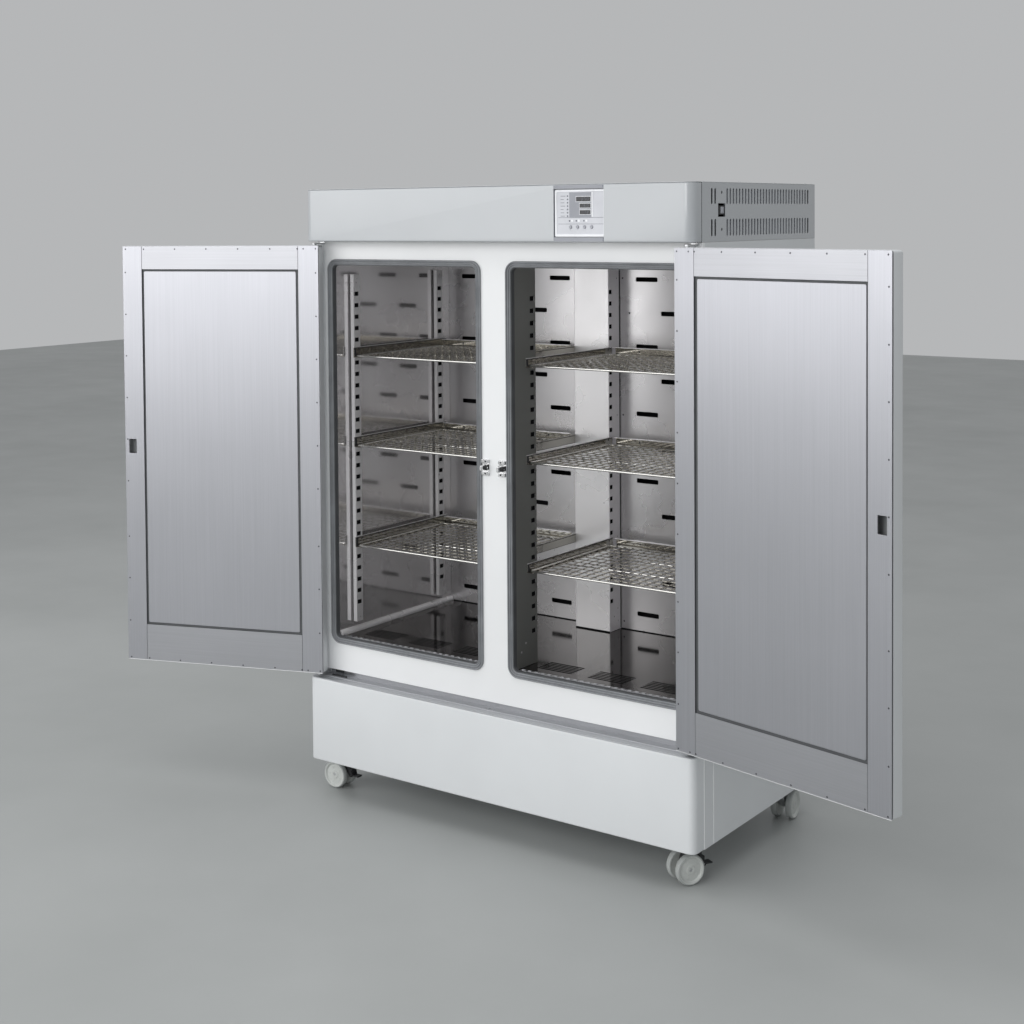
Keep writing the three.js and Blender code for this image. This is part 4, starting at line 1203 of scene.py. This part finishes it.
def build_keepers():
    """A striker on each side of the mullion: a plate, two screwed blocks, a black roller and a tongue."""
    low, high = cad("keeper_right")
    cz = middle(low, high).z
    y1 = high.y
    for half in ("left", "right"):
        keeper = Part()
        keeper.box(low.x, high.x, y1 - 2, y1, low.z, high.z, 0.5)
        for side in (-1, 1):
            z0, z1 = sorted((cz + side * 11, cz + side * 20.5))
            keeper.box(low.x + 1, high.x - 1, y1 - 8, y1 - 1, z0, z1, 1.2, 0, 3)
            keeper.pan_screw((low.x + 9, y1 - 8, (z0 + z1) / 2), (0, -1, 0), 2.5, 1.0, 1, 2)
        keeper.rod((low.x + 3, y1 - 8.5, cz), (high.x - 3, y1 - 8.5, cz), 6.6, 2, 32, 0.8)
        keeper.rod((low.x + 1.5, y1 - 8.5, cz), (high.x - 1.5, y1 - 8.5, cz), 2.2, 0, 16)
        keeper.box(low.x + 8, low.x + 15, y1 - 25.9, y1 - 4, cz - 6.8, cz + 6.8, 1.6, 0, 3)
        node = f"keeper_{half}"
        keeper.finish(f"{node}_striker", [CHROME, SCREW, BLACK], "bright_metal", node, mirror=half == "left")


def door_matrix(side):
    """From a closed left door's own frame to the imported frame, as the door stands open."""
    joint = JOINTS[f"door_{'left' if side < 0 else 'right'}_swing"]
    angle = math.radians(side * -joint["range_deg"][0])
    axis = pivot(joint["name"])
    place = Matrix.Translation(Vector((axis.x, axis.y, 0))) @ Matrix.Rotation(angle, 4, "Z")
    return CABINET @ place


def build_door(side):
    """A door's outer skin and its inner lining: four screwed strips round a sunk panel, with a dark backing
    that paints the shade in the groove between them.
    """
    half = "left" if side < 0 else "right"
    body = f"door_{half}"
    place = door_matrix(side)
    mirror = side > 0
    y0, y1 = -HINGE_Y, -HINGE_Y + DOOR_THICK
    x0, x1, z0, z1 = DOOR_X0, DOOR_X1, DOOR_BOTTOM, DOOR_TOP
    liner_back = y1 - 5.2
    edge, sheet = 8, 1.6
    shell = Part()

    def outline(inset):
        return rounded(x0 + inset, x1 - inset, z0 + inset, z1 - inset, max(7 - inset, 0.4), 5)

    def bend(radius, angles):
        return [(edge - radius * math.cos(a), y0 + edge - radius * math.sin(a)) for a in angles]

    outer = [(0, liner_back)] + bend(edge, [i * math.pi / 12 for i in range(7)])
    inner = [(edge, y0 + sheet)] + bend(edge - sheet, (0.8, 0)) + [(sheet, liner_back)]
    shell.sweep(outline, inner + outer, upright, closed_profile=False)
    shell.finish(f"door_{half}_outer_skin", PAINT, "casing", f"door_{half}_shell", body, place, mirror)

    liner = Part()
    side_w, top_h, bottom_h = 60, 66, 104
    mouth = rounded(540, 563, KEEPER_Z - 20, KEEPER_Z + 20, 2, 3)
    strips = [
        (x0 + 0.6, x0 + side_w, z0 + 3.2, z1 - 0.6, []),
        (x1 - side_w, x1 - 0.6, z0 + 3.2, z1 - 0.6, [mouth]),
        (x0 + side_w + 0.5, x1 - side_w - 0.5, z1 - top_h, z1 - 0.6, []),
        (x0 + side_w + 0.5, x1 - side_w - 0.5, z0 + 3.2, z0 + bottom_h, []),
    ]
    for a, b, c, d, holes in strips:
        across = 1 if b - a > d - c else 0
        liner.plate(rounded(a, b, c, d, 0.8, 2), holes, y1 - 1.6, y1, "xz", 0.45, across)
    panel = rounded(x0 + side_w + 7.5, x1 - side_w - 5, z0 + bottom_h + 6, z1 - top_h - 5, 5, 4)
    liner.plate(panel, [], y1 - 4.6, y1 - 2.4, "xz", 1.0, 0)
    # The dark backing shows through the groove round the panel, painted shade in the recess.
    backing = rounded(x0 + 2, x1 - 2, z0 + 2, z1 - 2, 3, 3)
    liner.plate(backing, [mouth], y1 - 5.2, y1 - 4.2, "xz", 0.2, 2)
    # A raised hem runs along the bottom; its lighter zinc colour is partly painted highlight along the hem's
    # edge.
    liner.box(x0 + 0.6, x1 - 0.6, y1 - 2.4, y1 - 0.1, z0 + 0.4, z0 + 2.9, 0.9, 4)

    across = [-12, 24, 42] + [123 + 96.5 * i for i in range(5)] + [x1 - 10]
    spots = [(x, z) for x in across for z in (z1 - 9, z0 + 7.5)]
    for z in (1449, 1330, 1212, 1093, 974, 855, 696, 577, 455):
        spots += [(x0 + 8.5, z), (x1 - 8.5, z)]
    for x, z in spots:
        liner.pan_screw((x, y1 - 0.7, z), (0, 1, 0), 3.1, 0.9, 3)
    finishes = [LINER, LINER_ACROSS, DARK_RUBBER_AND_GROOVE_SHADE, SCREW, ZINC]
    liner.finish(f"door_{half}_lining", finishes, "liner_steel", f"door_{half}_liner", body, place, mirror)
    build_handle(half, body, place, mirror, y0)


def build_handle(half, body, place, mirror, face):
    """A pull lever between two brackets on a long base plate, with a round lock under it."""
    x = HINGE_X - 58
    z = KEEPER_Z
    y = face - 0.4
    base = Part()
    plate = rounded(x - 22, x + 22, z - 90, z + 90, 8, 6)
    base.plate(plate, [], y - 4, y, "xz", 1.2)
    for side in (-1, 1):
        z0, z1 = sorted((z + side * 62.2, z + side * 74))
        outline = rounded(x - 18, x + 14, y - 26, y - 3.5, [10, 5, 1, 1], 6)
        base.plate(outline, [], z0, z1, "xy", 1.0)
        for dx in (-12, 12):
            base.pan_screw((x + dx, y - 4, z + side * 82), (0, -1, 0), 3.2, 1.6, 1, 2)
    lock = [(0, -0.5), (9, -0.5), (9, 2), (8, 3.4), (5.5, 3.8), (5.5, 3.0), (0, 3.0)]
    base.lathe(lock, (x + 2, y - 4, z - 40), (0, -1, 0), 0, 32)
    # The keyway is a dark slot, painted shade inside it.
    base.box(x + 1.5, x + 2.5, y - 7.4, y - 6.6, z - 43, z - 37, 0, 2)
    finishes = [CHROME, ZINC, SCREW_RECESS_SHADE]
    node = f"door_{half}_handle_base"
    base.finish(f"door_{half}_handle_plate", finishes, "bright_metal", node, body, place, mirror)

    px, py = x - 8, y - 17
    lever = Part()
    lever.rod((px, py, z - 78), (px, py, z + 78), 3, 1, 20, 0.5)
    # The grip is a slim aerofoil in plan that runs from its pin out past the plate's edge.
    grip = [
        (-7, -1), (-6, 4), (-2, 7), (4, 7), (8, 3), (14, -1.5), (24, -4), (34, -5), (39, -7),
        (40, -10), (38.5, -13.5), (34, -15), (20, -14.6), (8, -13), (-2, -9), (-6, -5),
    ]
    lever.plate([(px + u, py + v) for u, v in grip], [], z - 61.4, z + 61.4, "xy", 1.6)
    finishes = [BLACK, ZINC]
    node, body = f"door_{half}_handle_lever", f"lever_{half}"
    lever.finish(f"door_{half}_handle_grip", finishes, "black_plastic", node, body, place, mirror)


# ---------------------------------------------------------------- casters

TRAIL, WHEEL_RADIUS, WHEEL_WIDTH, HALF_GAP = 27, 37.5, 17, 12


def caster_matrix(name):
    """From a caster's own frame, trailing towards +Y from its swivel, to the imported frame."""
    swivel = pivot(f"caster_{name}_swivel")
    axle = JOINTS[f"caster_{name}_roll"]["axis"]
    turn = math.atan2(axle[1], axle[0])
    return CABINET @ Matrix.Translation(Vector((swivel.x, swivel.y, 0))) @ Matrix.Rotation(turn, 4, "Z")


def build_caster(name, braked):
    """A swivel caster: a hooded fork under a bolted plate, twin wheels, and a brake pedal at the front."""
    place = caster_matrix(name)
    fork = Part()
    top = BASE_BOTTOM - 0.4
    bolts = [slot(sx * 24, sy * 24, 9, 7, 4) for sx in (-1, 1) for sy in (-1, 1)]
    fork.plate(rounded(-32, 32, -32, 32, 6, 5), bolts, top - 4, top, "xy", 0.6)
    swivel = [(0, 0), (19, 0), (20, 1.2), (20, 4), (17.5, 5.2), (17.5, 8), (20, 9.2), (20, 13), (0, 13)]
    fork.lathe(swivel, (0, 0, top - 17), (0, 0, 1), 0, 36)
    # The housing is a hood between the wheels, high over the swivel and low at the axle.
    hood = [
        (-13.8, 60), (-13.8, 80), (-9, 86), (8, 87.2), (22, 84), (34, 72), (40.8, 52), (40.8, 36), (36, 30),
        (27, 29.6), (17, 30), (10, 36), (2, 46), (-8, 52),
    ]
    fork.plate(hood, [], -9.8, 9.8, "yz", 1.4, 1)
    if braked:
        fork.rod((-11.2, -19.5, 39), (11.2, -19.5, 39), 2, 0, 16)
        cheek = [(-24, 35), (-15, 34.6), (-4, 50), (-4, 62), (-13, 62), (-24, 43)]
        for side in (-1, 1):
            fork.plate(cheek, [], side * 9.6, side * 11.2, "yz", 0.3, 1)
    finishes = [ZINC, BLACK if braked else ZINC]
    node = f"caster_{name}_fork"
    fork.finish(f"caster_{name}_housing", finishes, "caster_metal", node, f"fork_{name}", place)

    wheels = Part()
    r, w = WHEEL_RADIUS, WHEEL_WIDTH
    # The wheel's disc and its tyre, as (radius, distance in from its outer face).
    disc = [(0, 3.2), (4.6, 3.2), (5.4, 2.2), (10.5, 2.2), (12, 3.6), (27.5, 5.2), (29.5, 3.4), (31, 1.0)]
    disc += [(33.5, 0.2), (33.5, w - 0.2), (30, w - 2), (12, w - 2), (10, w), (0, w)]
    tread = [(33.5, 0.2), (35.6, 0.8), (r - 0.4, 3.0), (r, 6.0), (r, w - 6), (r - 0.4, w - 3)]
    tread += [(35.6, w - 0.8), (33.3, w - 0.4), (33.3, 0.4)]
    for side in (-1, 1):
        outer = (side * (HALF_GAP + w), TRAIL, r)
        wheels.lathe(disc, outer, (-side, 0, 0), 0, 48)
        tyre = [(radius, outer[0] - side * h) for radius, h in tread]
        wheels.sweep(lambda radius: circle(TRAIL, r, radius, 64), tyre, sideways, material=1)
        for i in range(5):
            a = 2 * math.pi * i / 5
            centre = (outer[0] - side * 4.3, TRAIL + 20 * math.cos(a), r + 20 * math.sin(a))
            wheels.lathe([(0, -0.5), (3.0, -0.5), (3.0, 0.5), (0, 0.9)], centre, (side, 0, 0), 0, 14)
    end = HALF_GAP + w
    wheels.rod((-end + 2.6, TRAIL, r), (end - 2.6, TRAIL, r), 3.9, 2, 20, 0.6)
    node = f"caster_{name}_wheels"
    finishes = [WHEEL, TREAD, ZINC]
    wheels.finish(f"caster_{name}_wheel_pair", finishes, "wheel_plastic", node, f"wheels_{name}", place)

    if braked:
        pedal = Part()
        y, z = -19.5, 39
        pedal.plate(circle(y, z, 4.4, 20), [circle(y, z, 2.4, 16)], -8.8, 8.8, "yz", 0.3)
        step = [(-3, -2.4), (-24.6, -2.4), (-24.9, 0.5), (-23, 1.9), (-3, 1.9)]
        pedal.plate([(y + u, z + v) for u, v in step], [], -8.8, 8.8, "yz", 0.5)
        for i in range(4):
            pedal.box(-7.5, 7.5, y - 22 + i * 4.4, y - 20.4 + i * 4.4, z + 1.6, z + 2.0, 0.15)
        tab = [(y - 2.8, z + 2), (y - 2.6, z + 18.6), (y - 1, z + 19.8), (y + 1.6, z + 19), (y + 1.8, z + 2)]
        pedal.plate(tab, [], -8.8, 8.8, "yz", 0.5)
        node = f"caster_{name}_pedal"
        pedal.finish(f"caster_{name}_brake", BLACK, "black_plastic", node, f"pedal_{name}", place)


# ---------------------------------------------------------------- hidden pieces


def build_fan():
    """The fan keeps its CAD shape, which is hidden behind the back wall."""
    mesh = frame["nodes"]["fan_wheel"].data
    mesh.materials.clear()
    mesh.materials.append(BLACK)


build_base()
build_sill()
build_sides()
build_rear()
build_face_frame()
build_header()
build_vents()
build_controls()
build_chamber()
build_racks()
for shelf_half in ("left", "right"):
    for shelf_level in SHELF_LEVELS:
        build_shelf(shelf_half, shelf_level)
build_gaskets()
build_hinges()
build_keepers()
for door_side in (-1, 1):
    build_door(door_side)
for caster_name in ("front_left", "front_right", "rear_left", "rear_right"):
    build_caster(caster_name, caster_name.startswith("front"))
build_insulation()
build_fan()


def corners(bounds):
    return [list(point) for point in bounds]
